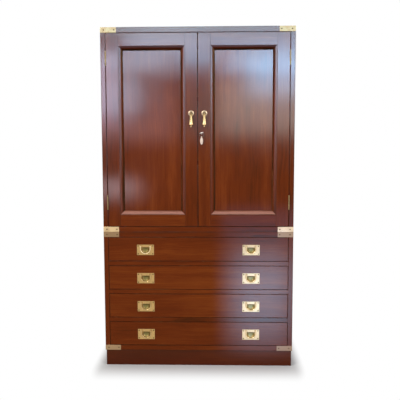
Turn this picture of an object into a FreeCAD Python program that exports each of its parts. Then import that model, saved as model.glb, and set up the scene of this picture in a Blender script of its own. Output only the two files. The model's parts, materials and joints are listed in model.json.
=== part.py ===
import FreeCAD, Part
import math
import os
import re
import Sketcher

doc = FreeCAD.newDocument("armoire_chest")
sheet = doc.addObject("Spreadsheet::Sheet", "Sizes")

# Driving sizes in millimetres.
sizes = {
    # the two cases
    "case_width": 1010,
    "case_depth": 520,
    "plinth_height": 84,
    "plinth_inset": 4,
    "plinth_thickness": 20,
    "plinth_block": 30,
    "board_thickness": 28,
    "side_thickness": 25,
    "tongue_thickness": 10,
    "tongue_length": 8,
    "tongue_stop": 20,
    "back_thickness": 10,
    "back_rebate": 10,
    "drawer_opening": 130,
    "drawer_rail": 24,
    "rail_depth": 70,
    "rail_tenon": 10,
    "runner_width": 30,
    "door_opening": 1012,
    "shelf_thickness": 20,
    "shelf_setback": 30,
    "shelf_housing": 8,
    # drawers
    "drawer_depth": 470,
    "drawer_gap": 1.5,
    "drawer_front": 22,
    "drawer_lap": 6,
    "drawer_side": 12,
    "drawer_headroom": 6,
    "drawer_bottom": 7,
    "drawer_bottom_lift": 9,
    "drawer_groove": 5,
    "drawer_back_set": 12,
    "drawer_back_drop": 4,
    "tail_margin": 7,
    "tail_pin": 11,
    "tail_flare": 2.6,
    "stop_length": 40,
    "stop_depth": 15,
    "stop_height": 5,
    "stop_spread": 150,
    "edge_ease": 0.8,
    # doors
    "door_thickness": 24,
    "door_gap": 2,
    "meeting_gap": 3,
    "stile_width": 66,
    "top_rail": 66,
    "bottom_rail": 62,
    "door_tenon": 40,
    "door_tenon_thickness": 9,
    "door_tenon_shoulder": 10,
    "panel_recess": 12,
    "panel_thickness": 8,
    "panel_groove": 8,
    "panel_play": 1,
    "moulding_width": 22,
    "moulding_step": 2,
    "moulding_quirk": 3,
    "moulding_lip": 2.5,
    "moulding_radius": 24,
    # hinges
    "hinge_length": 76,
    "hinge_offset": 128,
    "hinge_leaf": 22,
    "hinge_leaf_thickness": 1.8,
    "hinge_leaf_room": 0.2,
    "hinge_proud": 3.2,
    "knuckle_radius": 2.9,
    "knuckle_gap": 0.3,
    "hinge_pin_radius": 1.4,
    # corner brasses
    "brass_length": 83,
    "brass_width": 28,
    "brass_thickness": 2,
    "brass_proud": 0.3,
    "brass_margin": 0.4,
    "brass_screw_near": 18,
    "brass_screw_far": 11,
    "brass_cap_screw": 23,
    # screws
    "screw_head": 3.2,
    "screw_shank": 1.4,
    "screw_length": 12,
    "screw_slot": 0.9,
    # pendant pulls
    "pull_level": 597,
    "rose_radius": 15.5,
    "rose_thickness": 4,
    "rose_hollow": 7,
    "rose_hollow_slope": 1.5,
    "rose_land": 2,
    "rose_rim": 1.6,
    "rose_rim_step": 0.4,
    "rose_rim_ease": 0.3,
    "pull_reach": 13,
    "pull_eye": 3.2,
    "pull_eye_width": 4.6,
    "pull_cheek": 2.4,
    "pull_pin": 1.3,
    "pull_stud": 2.5,
    "pull_stud_length": 16,
    "drop_length": 61,
    "drop_shoulder": 7.4,
    "drop_flare": 200,
    "drop_skirt": 12,
    "drop_neck": 2,
    "drop_neck_length": 2,
    "drop_cap": 3.5,
    "drop_cap_ease": 1.5,
    "drop_rim": 2.5,
    "drop_rim_ease": 1,
    "finial_radius": 4.3,
    # lock and key
    "lock_level": 495,
    "lock_backset": 18.5,
    "lock_width": 42,
    "lock_below": 16,
    "lock_above": 28,
    "lock_depth": 11,
    "lock_wall": 1.5,
    "lock_flange": 14,
    "lock_screw_set": 7,
    "lock_throw": 10,
    "bolt_length": 34,
    "bolt_lift": 3.5,
    "bolt_height": 12,
    "bolt_front": 1.5,
    "bolt_thickness": 6,
    "talon_width": 8.6,
    "talon_depth": 6,
    "strike_margin": 10,
    "strike_ahead": 3.5,
    "strike_behind": 3,
    "strike_thickness": 1.5,
    "key_projection": 36,
    "key_radius": 2.4,
    "key_bow": 11.5,
    "key_bow_hole": 6.5,
    "key_bow_thickness": 3,
    "key_bow_overlap": 2.5,
    "key_collar_set": 3,
    "key_collar": 2.5,
    "key_collar_rise": 1.2,
    "key_collar_ease": 0.5,
    "key_tip_ease": 0.8,
    "key_bit": 8.4,
    "key_bit_thickness": 2.4,
    "key_bit_length": 5,
    "key_tilt": 22,
    "keyhole_width": 3,
    "ring_radius": 12,
    "ring_wire": 0.9,
    "fob_length": 39,
    "fob_width": 15.5,
    "fob_thickness": 8,
    "fob_eye": 3,
    "fob_eye_width": 5,
    "fob_eye_play": 0.6,
    # slide bolts on the left door
    "slide_plate_length": 72,
    "slide_plate_width": 24,
    "slide_plate_thickness": 1.5,
    "slide_inset": 14,
    "slide_edge": 4,
    "slide_bar_width": 8,
    "slide_bar_thickness": 5.5,
    "slide_bar_length": 68,
    "slide_guide_wall": 3,
    "slide_guide_length": 8,
    "slide_knob_radius": 3.5,
    "slide_knob_length": 8,
    "slide_throw": 16,
    "slide_tip_set": 3,
    "slide_guide_set": 6,
    "slide_tail": 16,
    "slide_knob_set": 36,
    "slide_screw_upper": 24,
    "slide_screw_lower": 8,
    "slide_screw_margin": 0.4,
    # flush pulls on the drawers
    "pull_spread": 282,
    "plate_width": 92,
    "plate_height": 57,
    "plate_thickness": 3,
    "plate_fall": 4,
    "cup_radius": 21,
    "cup_centre": 2,
    "cup_top": 14,
    "cup_depth": 13,
    "cup_wall": 1.2,
    "bail_radius": 26,
    "bail_rod": 3,
    "bail_arm": 12,
    "bail_pivot": 19,
    "bail_eye": 3.6,
    "bail_pin": 1.6,
    "bail_lug": 4,
    "plate_screw_inset": 7,
    # clearances
    "joint_clearance": 0.1,
    "slide_clearance": 0.2,
    "pin_clearance": 0.06,
    "running_clearance": 0.3,
    "screw_clearance": 0.1,
    "pocket_clearance": 0.5,
}
for row, (alias, value) in enumerate(sizes.items(), 1):
    sheet.set(f"A{row}", alias)
    sheet.set(f"B{row}", str(value))
    sheet.setAlias(f"B{row}", alias)
doc.recompute()

# Levels and planes, as expressions in the driving sizes. The front faces -Y.
front = "((key_projection - case_depth) / 2)"
back = f"({front} + case_depth)"
half = "(case_width / 2)"
inner = "(case_width / 2 - side_thickness)"
plate_middle = "(drawer_opening / 2 - plate_fall)"
base_top = "(plinth_height + board_thickness)"
lower_under = f"({base_top} + 4 * drawer_opening + 3 * drawer_rail)"
lower_top = f"({lower_under} + board_thickness)"
floor = f"({lower_top} + board_thickness)"
ceiling = f"({floor} + door_opening)"
top = f"({ceiling} + board_thickness)"
door_low = f"({floor} + door_gap)"
door_high = f"({ceiling} - door_gap)"
door_near = "(meeting_gap / 2)"
door_far = f"({inner} - door_gap)"
door_back = f"({front} + door_thickness)"
hinge_x = f"({inner} - door_gap / 2)"
lock_x = f"({door_near} + lock_backset)"
lock_z = f"({floor} + lock_level)"
slide_x = f"({door_near} + slide_inset)"
sides = (("left", -1), ("right", 1))
drawers = (1, 2, 3, 4)


def live(text):
    return re.sub(r"[a-z_]+", lambda m: "Sizes." + m[0] if m[0] in sizes else m[0], str(text))


def number(text):
    return float(sheet.evalExpression(live(text)))


def bind(item, prop, text):
    item.setExpression(prop, live(text))


def place(item, x, y, z):
    for axis, text in zip("xyz", (x, y, z)):
        bind(item, f"Placement.Base.{axis}", text)
    return item


def turn(item, axis, angle):
    spin = FreeCAD.Rotation(FreeCAD.Vector(*axis), angle)
    item.Placement = FreeCAD.Placement(FreeCAD.Vector(), spin)
    return item


def across(sign, near, far):
    """The x range between two distances from the centre line, on the left or the right."""
    return (near, far) if sign > 0 else (f"-({far})", f"-({near})")


def grown(span, room):
    return (f"({span[0]}) - ({room})", f"({span[1]}) + ({room})")


def board(name, x, y, z):
    item = doc.addObject("Part::Box", name)
    for size, (low, high) in zip(("Length", "Width", "Height"), (x, y, z)):
        bind(item, size, f"({high}) - ({low})")
    return place(item, x[0], y[0], z[0])


def rod(name, radius, axis, low, high, a, b):
    """A cylinder along an axis from low to high, with its centre at a, b on the other two."""
    item = doc.addObject("Part::Cylinder", name)
    bind(item, "Radius", radius)
    bind(item, "Height", f"({high}) - ({low})")
    if axis == "x":
        return place(turn(item, (0, 1, 0), 90), low, a, b)
    if axis == "y":
        return place(turn(item, (1, 0, 0), -90), a, low, b)
    return place(item, a, b, low)


def fuse(name, items):
    item = doc.addObject("Part::MultiFuse", name)
    item.Shapes = items
    item.Refine = True
    return item


def cut(name, base, tools):
    item = doc.addObject("Part::Cut", name)
    item.Base = base
    item.Tool = tools[0] if len(tools) == 1 else fuse(f"{name}_tools", tools)
    item.Refine = True
    return item


def group(name, items):
    item = doc.addObject("Part::Compound", name)
    item.Links = items
    return item


def copy(name, source, x="0", y="0", z="0", axis=None, angle=0):
    item = doc.addObject("App::Link", name)
    item.LinkedObject = source
    item.LinkTransform = True
    if axis:
        turn(item, axis, angle)
    return place(item, x, y, z)


def draw(sketch, points):
    """A closed outline. A point with a radius and a side starts an arc with its centre on that
    side of the way to the next point: 1 is the left, -1 the right."""
    spots = [FreeCAD.Vector(number(p[0]), number(p[1]), 0) for p in points]
    ends = []
    for i, p in enumerate(points):
        a, b = spots[i], spots[(i + 1) % len(spots)]
        if len(p) == 2:
            ends.append((sketch.addGeometry(Part.LineSegment(a, b)), 1, 2))
            continue
        radius, side = number(p[2]), p[3]
        way = b - a
        left = FreeCAD.Vector(-way.y, way.x, 0).normalize()
        rise = math.sqrt(radius**2 - (way.Length / 2) ** 2)
        centre = (a + b) * 0.5 + left * (side * rise)
        reach = [v - centre for v in ((a, b) if side > 0 else (b, a))]
        angles = [math.atan2(v.y, v.x) for v in reach]
        circle = Part.Circle(centre, FreeCAD.Vector(0, 0, 1), radius)
        edge = sketch.addGeometry(Part.ArcOfCircle(circle, *angles))
        ends.append((edge, 1, 2) if side > 0 else (edge, 2, 1))
        pin = sketch.addConstraint(Sketcher.Constraint("Radius", edge, radius))
        sketch.setExpression(f"Constraints[{pin}]", live(p[2]))
    for i, (edge, start, stop) in enumerate(ends):
        last, _, end = ends[i - 1]
        sketch.addConstraint(Sketcher.Constraint("Coincident", last, end, edge, start))
    for p, spot, (edge, start, _) in zip(points, spots, ends):
        for kind, text, value in (("DistanceX", p[0], spot.x), ("DistanceY", p[1], spot.y)):
            pin = sketch.addConstraint(Sketcher.Constraint(kind, -1, 1, edge, start, value))
            sketch.setExpression(f"Constraints[{pin}]", live(text))


def drawn_body(name, plane, points):
    body = doc.addObject("PartDesign::Body", name)
    sketch = body.newObject("Sketcher::SketchObject", f"{name}_outline")
    datum = next(f for f in body.Origin.OriginFeatures if f.Role == plane)
    sketch.AttachmentSupport = (datum, [""])
    sketch.MapMode = "FlatFace"
    draw(sketch, points)
    return body, sketch


def prism(name, plane, points, length, reverse=False):
    body, sketch = drawn_body(name, plane, points)
    pad = body.newObject("PartDesign::Pad", f"{name}_pad")
    pad.Profile = sketch
    pad.Reversed = reverse
    bind(pad, "Length", length)
    return body


def turned(name, plane, points):
    """A solid of revolution about the upright axis of its outline."""
    body, sketch = drawn_body(name, plane, points)
    spun = body.newObject("PartDesign::Revolution", f"{name}_turned")
    spun.Profile = sketch
    spun.ReferenceAxis = (sketch, ["V_Axis"])
    spun.Angle = 360
    return body


def eased(name, item, size):
    """Chamfers the edges round an item's front face, which is its face of least y."""
    doc.recompute()
    low = item.Shape.BoundBox.YMin
    edges = [
        (i, number(size), number(size))
        for i, edge in enumerate(item.Shape.Edges, 1)
        if edge.BoundBox.YMax < low + 0.01
    ]
    soft = doc.addObject("Part::Chamfer", name)
    soft.Base = item
    soft.Edges = edges
    return soft


def screws():
    """One countersunk screw, its head's face at z = 0 and its tip down, and the hole it needs."""
    neck = "-(screw_head - screw_shank)"
    solid = turned(
        "screw_turned",
        "XZ_Plane",
        [
            ("0", "0"),
            ("screw_head", "0"),
            ("screw_shank", neck),
            ("screw_shank", "2 * screw_shank - screw_length"),
            ("0", "-screw_length"),
        ],
    )
    slot = board(
        "screw_slot_tool",
        ("-2 * screw_head", "2 * screw_head"),
        ("-screw_slot / 2", "screw_slot / 2"),
        ("-0.7 * screw_slot", "screw_slot"),
    )
    hole = turned(
        "screw_hole",
        "XZ_Plane",
        [
            ("0", "1"),
            ("screw_head + screw_clearance", "1"),
            ("screw_head + screw_clearance", "0"),
            ("screw_shank + screw_clearance", neck),
            ("screw_shank + screw_clearance", "-screw_length - screw_clearance"),
            ("0", "-screw_length - screw_clearance"),
        ],
    )
    return cut("screw", solid, [slot]), hole


screw, screw_hole = screws()
headings = {
    "-x": ((0, 1, 0), -90),
    "+x": ((0, 1, 0), 90),
    "-y": ((1, 0, 0), 90),
    "+y": ((1, 0, 0), -90),
    "+z": ((1, 0, 0), 0),
    "-z": ((1, 0, 0), 180),
}


def screw_set(name, spots):
    """Screws and their holes at x, y, z spots, with each head facing the way given."""
    sets = []
    for kind, source in (("screw", screw), ("hole", screw_hole)):
        items = [
            copy(f"{name}_{kind}_{i}", source, x, y, z, *headings[way])
            for i, (x, y, z, way) in enumerate(spots, 1)
        ]
        sets.append(items)
    return sets


def opening(n):
    """The bottom of a drawer's opening, counted from the top."""
    return f"({base_top} + {4 - n} * (drawer_opening + drawer_rail))"


def plinth():
    out = "(case_width / 2 - plinth_inset)"
    deep = "plinth_thickness"
    ahead = f"({front} + plinth_inset)"
    behind = f"({back} - plinth_inset)"
    face = prism(
        "plinth_front",
        "XY_Plane",
        [
            (f"-{out}", ahead),
            (out, ahead),
            (f"{out} - {deep}", f"{ahead} + {deep}"),
            (f"{deep} - {out}", f"{ahead} + {deep}"),
        ],
        "plinth_height",
    )
    items = [face]
    for side, sign in sides:
        end = prism(
            f"plinth_{side}_end",
            "XY_Plane",
            [
                (f"{sign} * {out}", ahead),
                (f"{sign} * {out}", behind),
                (f"{sign} * ({out} - {deep})", behind),
                (f"{sign} * ({out} - {deep})", f"{ahead} + {deep}"),
            ],
            "plinth_height",
        )
        items.append(end)
        x = across(sign, f"{out} - {deep} - plinth_block", f"{out} - {deep}")
        tall = ("plinth_height / 8", "plinth_height")
        y = (f"{ahead} + {deep}", f"{ahead} + {deep} + plinth_block")
        items.append(board(f"plinth_{side}_front_block", x, y, tall))
        y = (f"{behind} - {deep} - plinth_block", f"{behind} - {deep}")
        items.append(board(f"plinth_{side}_back_block", x, y, tall))
    x = (f"{deep} - {out}", f"{out} - {deep}")
    y = (f"{behind} - {deep}", behind)
    items.append(board("plinth_back", x, y, ("0", "plinth_height")))
    return group("plinth_frame", items)


def corner_brass(name, sign, low, high, capped):
    """A brass let into a front corner, standing a hair proud, and its screws' spots."""
    proud = f"({half} + brass_proud)"
    ahead = f"({front} - brass_proud)"
    along = across(sign, f"{half} - brass_length", proud)
    leaf = across(sign, f"{proud} - brass_thickness", proud)
    span = (f"{low} + brass_margin", f"{high} - brass_margin")
    if capped:
        span = (span[0], high)
    deep = (ahead, f"{front} + brass_length")
    items = [
        board(f"{name}_front_leaf", along, (ahead, f"{ahead} + brass_thickness"), span),
        board(f"{name}_side_leaf", leaf, deep, span),
    ]
    level = f"({low} + {high}) / 2"
    spots = []
    for step in ("brass_screw_near", "(brass_length - brass_screw_far)"):
        spots.append((f"{sign} * ({half} - {step})", ahead, level, "-y"))
        way = "-x" if sign < 0 else "+x"
        spots.append((f"{sign} * {proud}", f"{front} + {step}", level, way))
    if capped:
        lid = (f"{span[1]} - brass_thickness", span[1])
        wide = across(sign, f"{half} - brass_width", proud)
        items.append(board(f"{name}_top_front", along, (ahead, f"{front} + brass_width"), lid))
        items.append(board(f"{name}_top_side", wide, deep, lid))
        away = f"{half} - brass_width / 2"
        near = f"{half} - brass_length + brass_cap_screw"
        spots.append((f"{sign} * ({near})", f"{front} + brass_width / 2", span[1], "+z"))
        deep = f"{front} + brass_length - brass_cap_screw"
        spots.append((f"{sign} * ({away})", deep, span[1], "+z"))
    return fuse(name, items), spots


def corner_brasses():
    levels = (
        ("base_strap", "plinth_height", base_top, False),
        ("lower_strap", lower_under, lower_top, False),
        ("upper_strap", lower_top, floor, False),
        ("top_cap", ceiling, top, True),
    )
    blanks, spots = [], []
    for level, low, high, capped in levels:
        for side, sign in sides:
            blank, more = corner_brass(f"{level}_{side}", sign, low, high, capped)
            blanks.append(blank)
            spots += more
    fixings, holes = screw_set("brass", spots)
    whole = group("corner_brass_blanks", blanks)
    drilled = cut("corner_brasses", whole, [fuse("brass_holes", holes)])
    pockets = fuse("brass_pockets", blanks + holes)
    return drilled, fixings, pockets


def hinge():
    """A left-hand butt hinge about its pin's middle: case leaf, door leaf, pin and recesses."""
    tall = ("-hinge_length / 2", "hinge_length / 2")
    knuckle = "((hinge_length - 4 * knuckle_gap) / 5)"
    reach = "(knuckle_radius + running_clearance)"
    leaves, recesses = [], []
    for leaf, sign, owned in (("case", -1, (0, 2, 4)), ("door", 1, (1, 3))):
        x = across(sign, "hinge_leaf_room", "hinge_leaf_room + hinge_leaf_thickness")
        items = [board(f"hinge_{leaf}_plate", x, (reach, "hinge_leaf"), tall)]
        for k in owned:
            low = f"({k} * ({knuckle} + knuckle_gap) - hinge_length / 2)"
            span = (low, f"{low} + {knuckle}")
            items.append(rod(f"hinge_{leaf}_knuckle_{k}", "knuckle_radius", "z", *span, "0", "0"))
            items.append(board(f"hinge_{leaf}_web_{k}", x, ("0", f"{reach} + hinge_leaf_thickness"), span))
        bore = "hinge_pin_radius + pin_clearance"
        bore = rod(f"hinge_{leaf}_bore", bore, "z", "-hinge_length", "hinge_length", "0", "0")
        face = f"{sign} * hinge_leaf_room"
        way = "+x" if sign < 0 else "-x"
        middle = f"({reach} + hinge_leaf) / 2"
        spots = [(face, middle, f"{k} * hinge_length / 3", way) for k in (-1, 0, 1)]
        fixings, holes = screw_set(f"hinge_{leaf}", spots)
        whole = fuse(f"hinge_{leaf}_blank", items)
        leaves.append(cut(f"hinge_{leaf}_leaf", whole, [bore] + holes))
        leaves.append(group(f"hinge_{leaf}_screws", fixings))
        deep = ("0", "hinge_leaf + joint_clearance")
        pocket = board(f"hinge_{leaf}_pocket", x, deep, grown(tall, "joint_clearance"))
        recesses.append(fuse(f"hinge_{leaf}_recess", [pocket] + holes))
    pin = rod("hinge_pin", "hinge_pin_radius", "z", *tall, "0", "0")
    return leaves, recesses, pin


hinge_leaves, hinge_recesses, hinge_pin = hinge()
case_leaf, case_leaf_screws, door_leaf, door_leaf_screws = hinge_leaves
case_recess, door_recess = hinge_recesses


def hung(name, source, sign):
    """Copies of a left-hand hinge piece at both hinges of a door; the right ones are turned over."""
    items = []
    spin = ((0, 1, 0), 180) if sign > 0 else (None, 0)
    levels = (("top", f"{door_high} - hinge_offset"), ("foot", f"{door_low} + hinge_offset"))
    for end, level in levels:
        spot = (f"{sign} * {hinge_x}", f"{front} - hinge_proud", level)
        items.append(copy(f"{name}_{end}", source, *spot, *spin))
    return items


def case_board(name, low, high, tools):
    x = (f"-{half}", half)
    return cut(name, board(f"{name}_blank", x, (front, back), (low, high)), tools)


def case_side(name, sign, low, high, tools):
    """A side with a stopped tongue at both ends, the groove for it, and its back rebate."""
    blank = board(f"{name}_blank", across(sign, inner, half), (front, back), (low, high))
    near = f"{inner} + (side_thickness - tongue_thickness) / 2"
    x = across(sign, near, f"{near} + tongue_thickness")
    y = (f"{front} + tongue_stop", back)
    z = (f"{low} - tongue_length", f"{high} + tongue_length")
    tongue = board(f"{name}_tongue", x, y, z)
    room = "joint_clearance"
    y = (f"{front} + tongue_stop - {room}", f"{back} + 1")
    groove = board(f"{name}_groove", grown(x, room), y, grown(z, room))
    x = across(sign, f"{inner} - 1", f"{inner} + back_rebate")
    rebate = board(f"{name}_rebate", x, (f"{back} - back_thickness", f"{back} + 1"), (low, high))
    return cut(name, fuse(f"{name}_tongued", [blank, tongue]), [rebate] + tools), groove


def drawer_rails():
    rails, mortises = [], []
    for n in drawers[:3]:
        low = f"({opening(n)} - drawer_rail)"
        x = (f"-{inner}", inner)
        y = (front, f"{front} + rail_depth")
        blank = board(f"rail_{n}_blank", x, y, (low, opening(n)))
        reach = f"({inner} + rail_tenon)"
        span = (f"{low} + drawer_rail / 5", f"{low} + drawer_rail * 4 / 5")
        y = (f"{front} + rail_depth / 4", f"{front} + rail_depth * 3 / 4")
        tenon = board(f"rail_{n}_tenon", (f"-{reach}", reach), y, span)
        rails.append(fuse(f"rail_{n}", [blank, tenon]))
        room = "joint_clearance"
        wide = (f"-{reach} - {room}", f"{reach} + {room}")
        mortises.append(board(f"rail_{n}_mortise", wide, grown(y, room), grown(span, room)))
    return rails, mortises


def drawer_runners():
    items = []
    for n in drawers:
        low = opening(n)
        for side, sign in sides:
            if n < 4:
                x = across(sign, f"{inner} - runner_width", inner)
                y = (f"{front} + rail_depth", f"{back} - back_thickness")
                items.append(board(f"runner_{n}_{side}", x, y, (f"{low} - drawer_rail", low)))
            x = across(sign, "stop_spread - stop_length / 2", "stop_spread + stop_length / 2")
            start = f"({front} + drawer_front + slide_clearance)"
            y = (start, f"{start} + stop_depth")
            items.append(board(f"stop_{n}_{side}", x, y, (low, f"{low} + stop_height")))
    return group("drawer_runners_and_stops", items)


def shelves():
    items, housings = [], []
    for k in (1, 2):
        low = f"({floor} + {k} * door_opening / 3 - shelf_thickness / 2)"
        reach = f"({inner} + shelf_housing)"
        x = (f"-{reach}", reach)
        y = (f"{door_back} + shelf_setback", f"{back} - back_thickness")
        z = (low, f"{low} + shelf_thickness")
        items.append(board(f"shelf_{k}", x, y, z))
        room = "joint_clearance"
        y = (f"{door_back} + shelf_setback - {room}", y[1])
        housings.append(board(f"shelf_{k}_housing", grown(x, room), y, grown(z, room)))
    return group("shelves", items), housings


def back_panel(name, low, high):
    reach = f"({inner} + back_rebate - joint_clearance)"
    return board(name, (f"-{reach}", reach), (f"{back} - back_thickness", back), (low, high))


def slide_bolt():
    """A slide bolt on a door's back, its door's edge at z = 0: plate, bar, screws, keeper hole."""
    wide = "slide_plate_width / 2"
    low = "-slide_edge - slide_plate_length"
    x = (f"-{wide}", wide)
    plate = board("slide_plate", x, ("0", "slide_plate_thickness"), (low, "-slide_edge"))
    bar_x = ("-slide_bar_width / 2", "slide_bar_width / 2")
    start = "(slide_plate_thickness + running_clearance)"
    bar_y = (start, f"{start} + slide_bar_thickness")
    tip = "(-slide_edge - slide_tip_set)"
    bar_z = (f"{tip} - slide_bar_length", tip)
    guides = []
    levels = ("-slide_edge - slide_guide_set", f"{low} + slide_tail + slide_guide_length")
    for k, level in enumerate(levels, 1):
        guide_x = grown(bar_x, "slide_guide_wall")
        y = ("0", f"{bar_y[1]} + slide_guide_wall * 0.7")
        z = (f"{level} - slide_guide_length", level)
        guides.append(board(f"slide_guide_{k}", guide_x, y, z))
    y = ("slide_plate_thickness", f"{bar_y[1]} + running_clearance")
    deep = grown(bar_z, "slide_throw + slide_plate_length")
    channel = board("slide_channel", grown(bar_x, "running_clearance"), y, deep)
    spots = []
    for sign in (-1, 1):
        for level in (f"{low} + slide_screw_lower", "-slide_edge - slide_screw_upper"):
            spot = f"{sign} * (slide_plate_width / 2 - screw_head - slide_screw_margin)"
            spots.append((spot, "slide_plate_thickness", level, "+y"))
    fixings, holes = screw_set("slide", spots)
    housing = cut("slide_housing", fuse("slide_blank", [plate] + guides), [channel] + holes)
    knob_z = "-slide_edge - slide_knob_set"
    knob_y = (f"{bar_y[1]} - 1", f"{bar_y[1]} + slide_knob_length")
    knob = rod("slide_knob", "slide_knob_radius", "y", *knob_y, "0", knob_z)
    bar = fuse("slide_bar", [board("slide_bar_blank", bar_x, bar_y, bar_z), knob])
    room = "pocket_clearance"
    deep = (f"-{room}", f"{tip} + slide_throw + {room}")
    keeper = board("slide_keeper", grown(bar_x, room), grown(bar_y, room), deep)
    return housing, bar, group("slide_screws", fixings), fuse("slide_holes", holes), keeper


slide_housing, slide_bar, slide_screws, slide_holes, slide_keeper = slide_bolt()


def bolted(name, source):
    """Copies of a slide bolt's piece at the top and the foot of the left door's meeting stile."""
    return [
        copy(f"{name}_top", source, f"-{slide_x}", door_back, door_high),
        copy(f"{name}_foot", source, f"-{slide_x}", door_back, door_low, (0, 1, 0), 180),
    ]


def carcass():
    brasses, brass_screws, pockets = corner_brasses()
    rails, mortises = drawer_rails()
    shelf_pair, housings = shelves()
    nodes = [plinth(), brasses, group("drawer_rails", rails), drawer_runners(), shelf_pair]
    lower, upper = [pockets], [pockets] + bolted("keeper", slide_keeper)
    leaves, pins, hinge_screws = [], [], []
    for side, sign in sides:
        name = f"lower_case_{side}_side"
        node, groove = case_side(name, sign, base_top, lower_under, mortises)
        nodes.append(node)
        lower.append(groove)
        recesses = hung(f"{side}_case_recess", case_recess, sign)
        name = f"upper_case_{side}_side"
        node, groove = case_side(name, sign, floor, ceiling, housings + recesses)
        nodes.append(node)
        upper.append(groove)
        leaves += hung(f"{side}_case_leaf", case_leaf, sign)
        pins += hung(f"{side}_hinge_pin", hinge_pin, sign)
        hinge_screws += hung(f"{side}_case_leaf_screws", case_leaf_screws, sign)
    backs = [
        back_panel("lower_case_back", base_top, lower_under),
        back_panel("upper_case_back", floor, ceiling),
    ]
    lower_tools = [fuse("lower_case_tools", lower)]
    upper_tools = [fuse("upper_case_tools", upper)]
    nodes += [
        case_board("lower_case_bottom", "plinth_height", base_top, lower_tools),
        case_board("lower_case_top", lower_under, lower_top, lower_tools),
        case_board("upper_case_bottom", lower_top, floor, upper_tools),
        case_board("upper_case_top", ceiling, top, upper_tools),
        group("back_panels", backs),
        group("hinge_case_leaves", leaves),
        group("hinge_pins", pins),
        group("carcass_screws", brass_screws + hinge_screws),
    ]
    return nodes


def door_frame(side, sign, hinge_tools, meeting_tools):
    """Stiles with mortises and a panel groove, and rails tenoned into them."""
    near, far = f"({door_near} + stile_width)", f"({door_far} - stile_width)"
    y = (front, door_back)
    tall = (door_low, door_high)
    name = f"{side}_door"
    outer = board(f"{name}_hinge_stile_blank", across(sign, far, door_far), y, tall)
    meeting = board(f"{name}_meeting_stile_blank", across(sign, door_near, near), y, tall)
    low, high = f"({door_low} + bottom_rail)", f"({door_high} - top_rail)"
    deep = "panel_groove - panel_play"
    panel_x = across(sign, f"{near} - ({deep})", f"{far} + {deep}")
    panel_y = (f"{front} + panel_recess", f"{front} + panel_recess + panel_thickness")
    panel_z = grown((low, high), deep)
    panel = board(f"{name}_panel", panel_x, panel_y, panel_z)
    room = "joint_clearance"
    groove = board(
        f"{name}_panel_groove",
        grown(panel_x, "panel_play"),
        grown(panel_y, room),
        grown(panel_z, "panel_play"),
    )
    start = f"({front} + (door_thickness - door_tenon_thickness) / 2)"
    tenon_y = (start, f"{start} + door_tenon_thickness")
    tenon_x = across(sign, f"{near} - door_tenon", f"{far} + door_tenon")
    rails, mortises = [], []
    for end, z in (("top", (high, door_high)), ("bottom", (door_low, low))):
        blank = board(f"{name}_{end}_rail_blank", across(sign, near, far), y, z)
        span = (f"{z[0]} + door_tenon_shoulder", f"{z[1]} - door_tenon_shoulder")
        tenon = board(f"{name}_{end}_tenon", tenon_x, tenon_y, span)
        tenoned = fuse(f"{name}_{end}_tenoned", [blank, tenon])
        rails.append(cut(f"{name}_{end}_rail", tenoned, [groove]))
        mortise = (grown(tenon_x, room), grown(tenon_y, room), grown(span, room))
        mortises.append(board(f"{name}_{end}_mortise", *mortise))
    tools = [groove] + mortises
    stiles = [
        cut(f"{name}_hinge_stile", outer, tools + hinge_tools),
        cut(f"{name}_meeting_stile", meeting, tools + meeting_tools),
    ]
    return group(f"{name}_frame", stiles + rails), panel


def moulding():
    """Mitred strips round a door's panel, about the middle of its opening: one flat, one upright."""
    wide = f"({door_far} - {door_near} - 2 * stile_width)"
    tall = "(door_opening - 2 * door_gap - top_rail - bottom_rail)"
    strips = []
    kinds = (("flat", wide, f"({tall} / 2)"), ("upright", tall, f"({wide} / 2)"))
    for name, length, away in kinds:
        section = prism(
            f"moulding_{name}_section",
            "YZ_Plane",
            [
                ("panel_recess", f"-{away}"),
                ("panel_recess", f"moulding_width - {away}"),
                ("panel_recess - moulding_lip", f"moulding_width - {away}", "moulding_radius", 1),
                ("moulding_step", f"moulding_quirk - {away}"),
                ("moulding_step", f"-{away}"),
            ],
            length,
        )
        bind(section, "Placement.Base.x", f"-{length} / 2")
        mitre = prism(
            f"moulding_{name}_mitre",
            "XZ_Plane",
            [
                (f"-{length} / 2", f"-{away}"),
                (f"{length} / 2", f"-{away}"),
                (f"{length} / 2 - moulding_width", f"moulding_width - {away}"),
                (f"moulding_width - {length} / 2", f"moulding_width - {away}"),
            ],
            "panel_recess",
            reverse=True,
        )
        strip = doc.addObject("Part::Common", f"moulding_{name}")
        strip.Base = section
        strip.Tool = mitre
        strips.append(strip)
    return strips


flat_strip, upright_strip = moulding()


def door_moulding(side, sign):
    x = f"{sign} * ({door_near} + {door_far}) / 2"
    z = f"({door_low} + bottom_rail + {door_high} - top_rail) / 2"
    items = []
    turns = ((flat_strip, 0), (upright_strip, 90), (flat_strip, 180), (upright_strip, -90))
    for k, (strip, angle) in enumerate(turns, 1):
        items.append(copy(f"{side}_strip_{k}", strip, x, front, z, (0, 1, 0), angle))
    return group(f"{side}_door_moulding", items)


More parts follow.
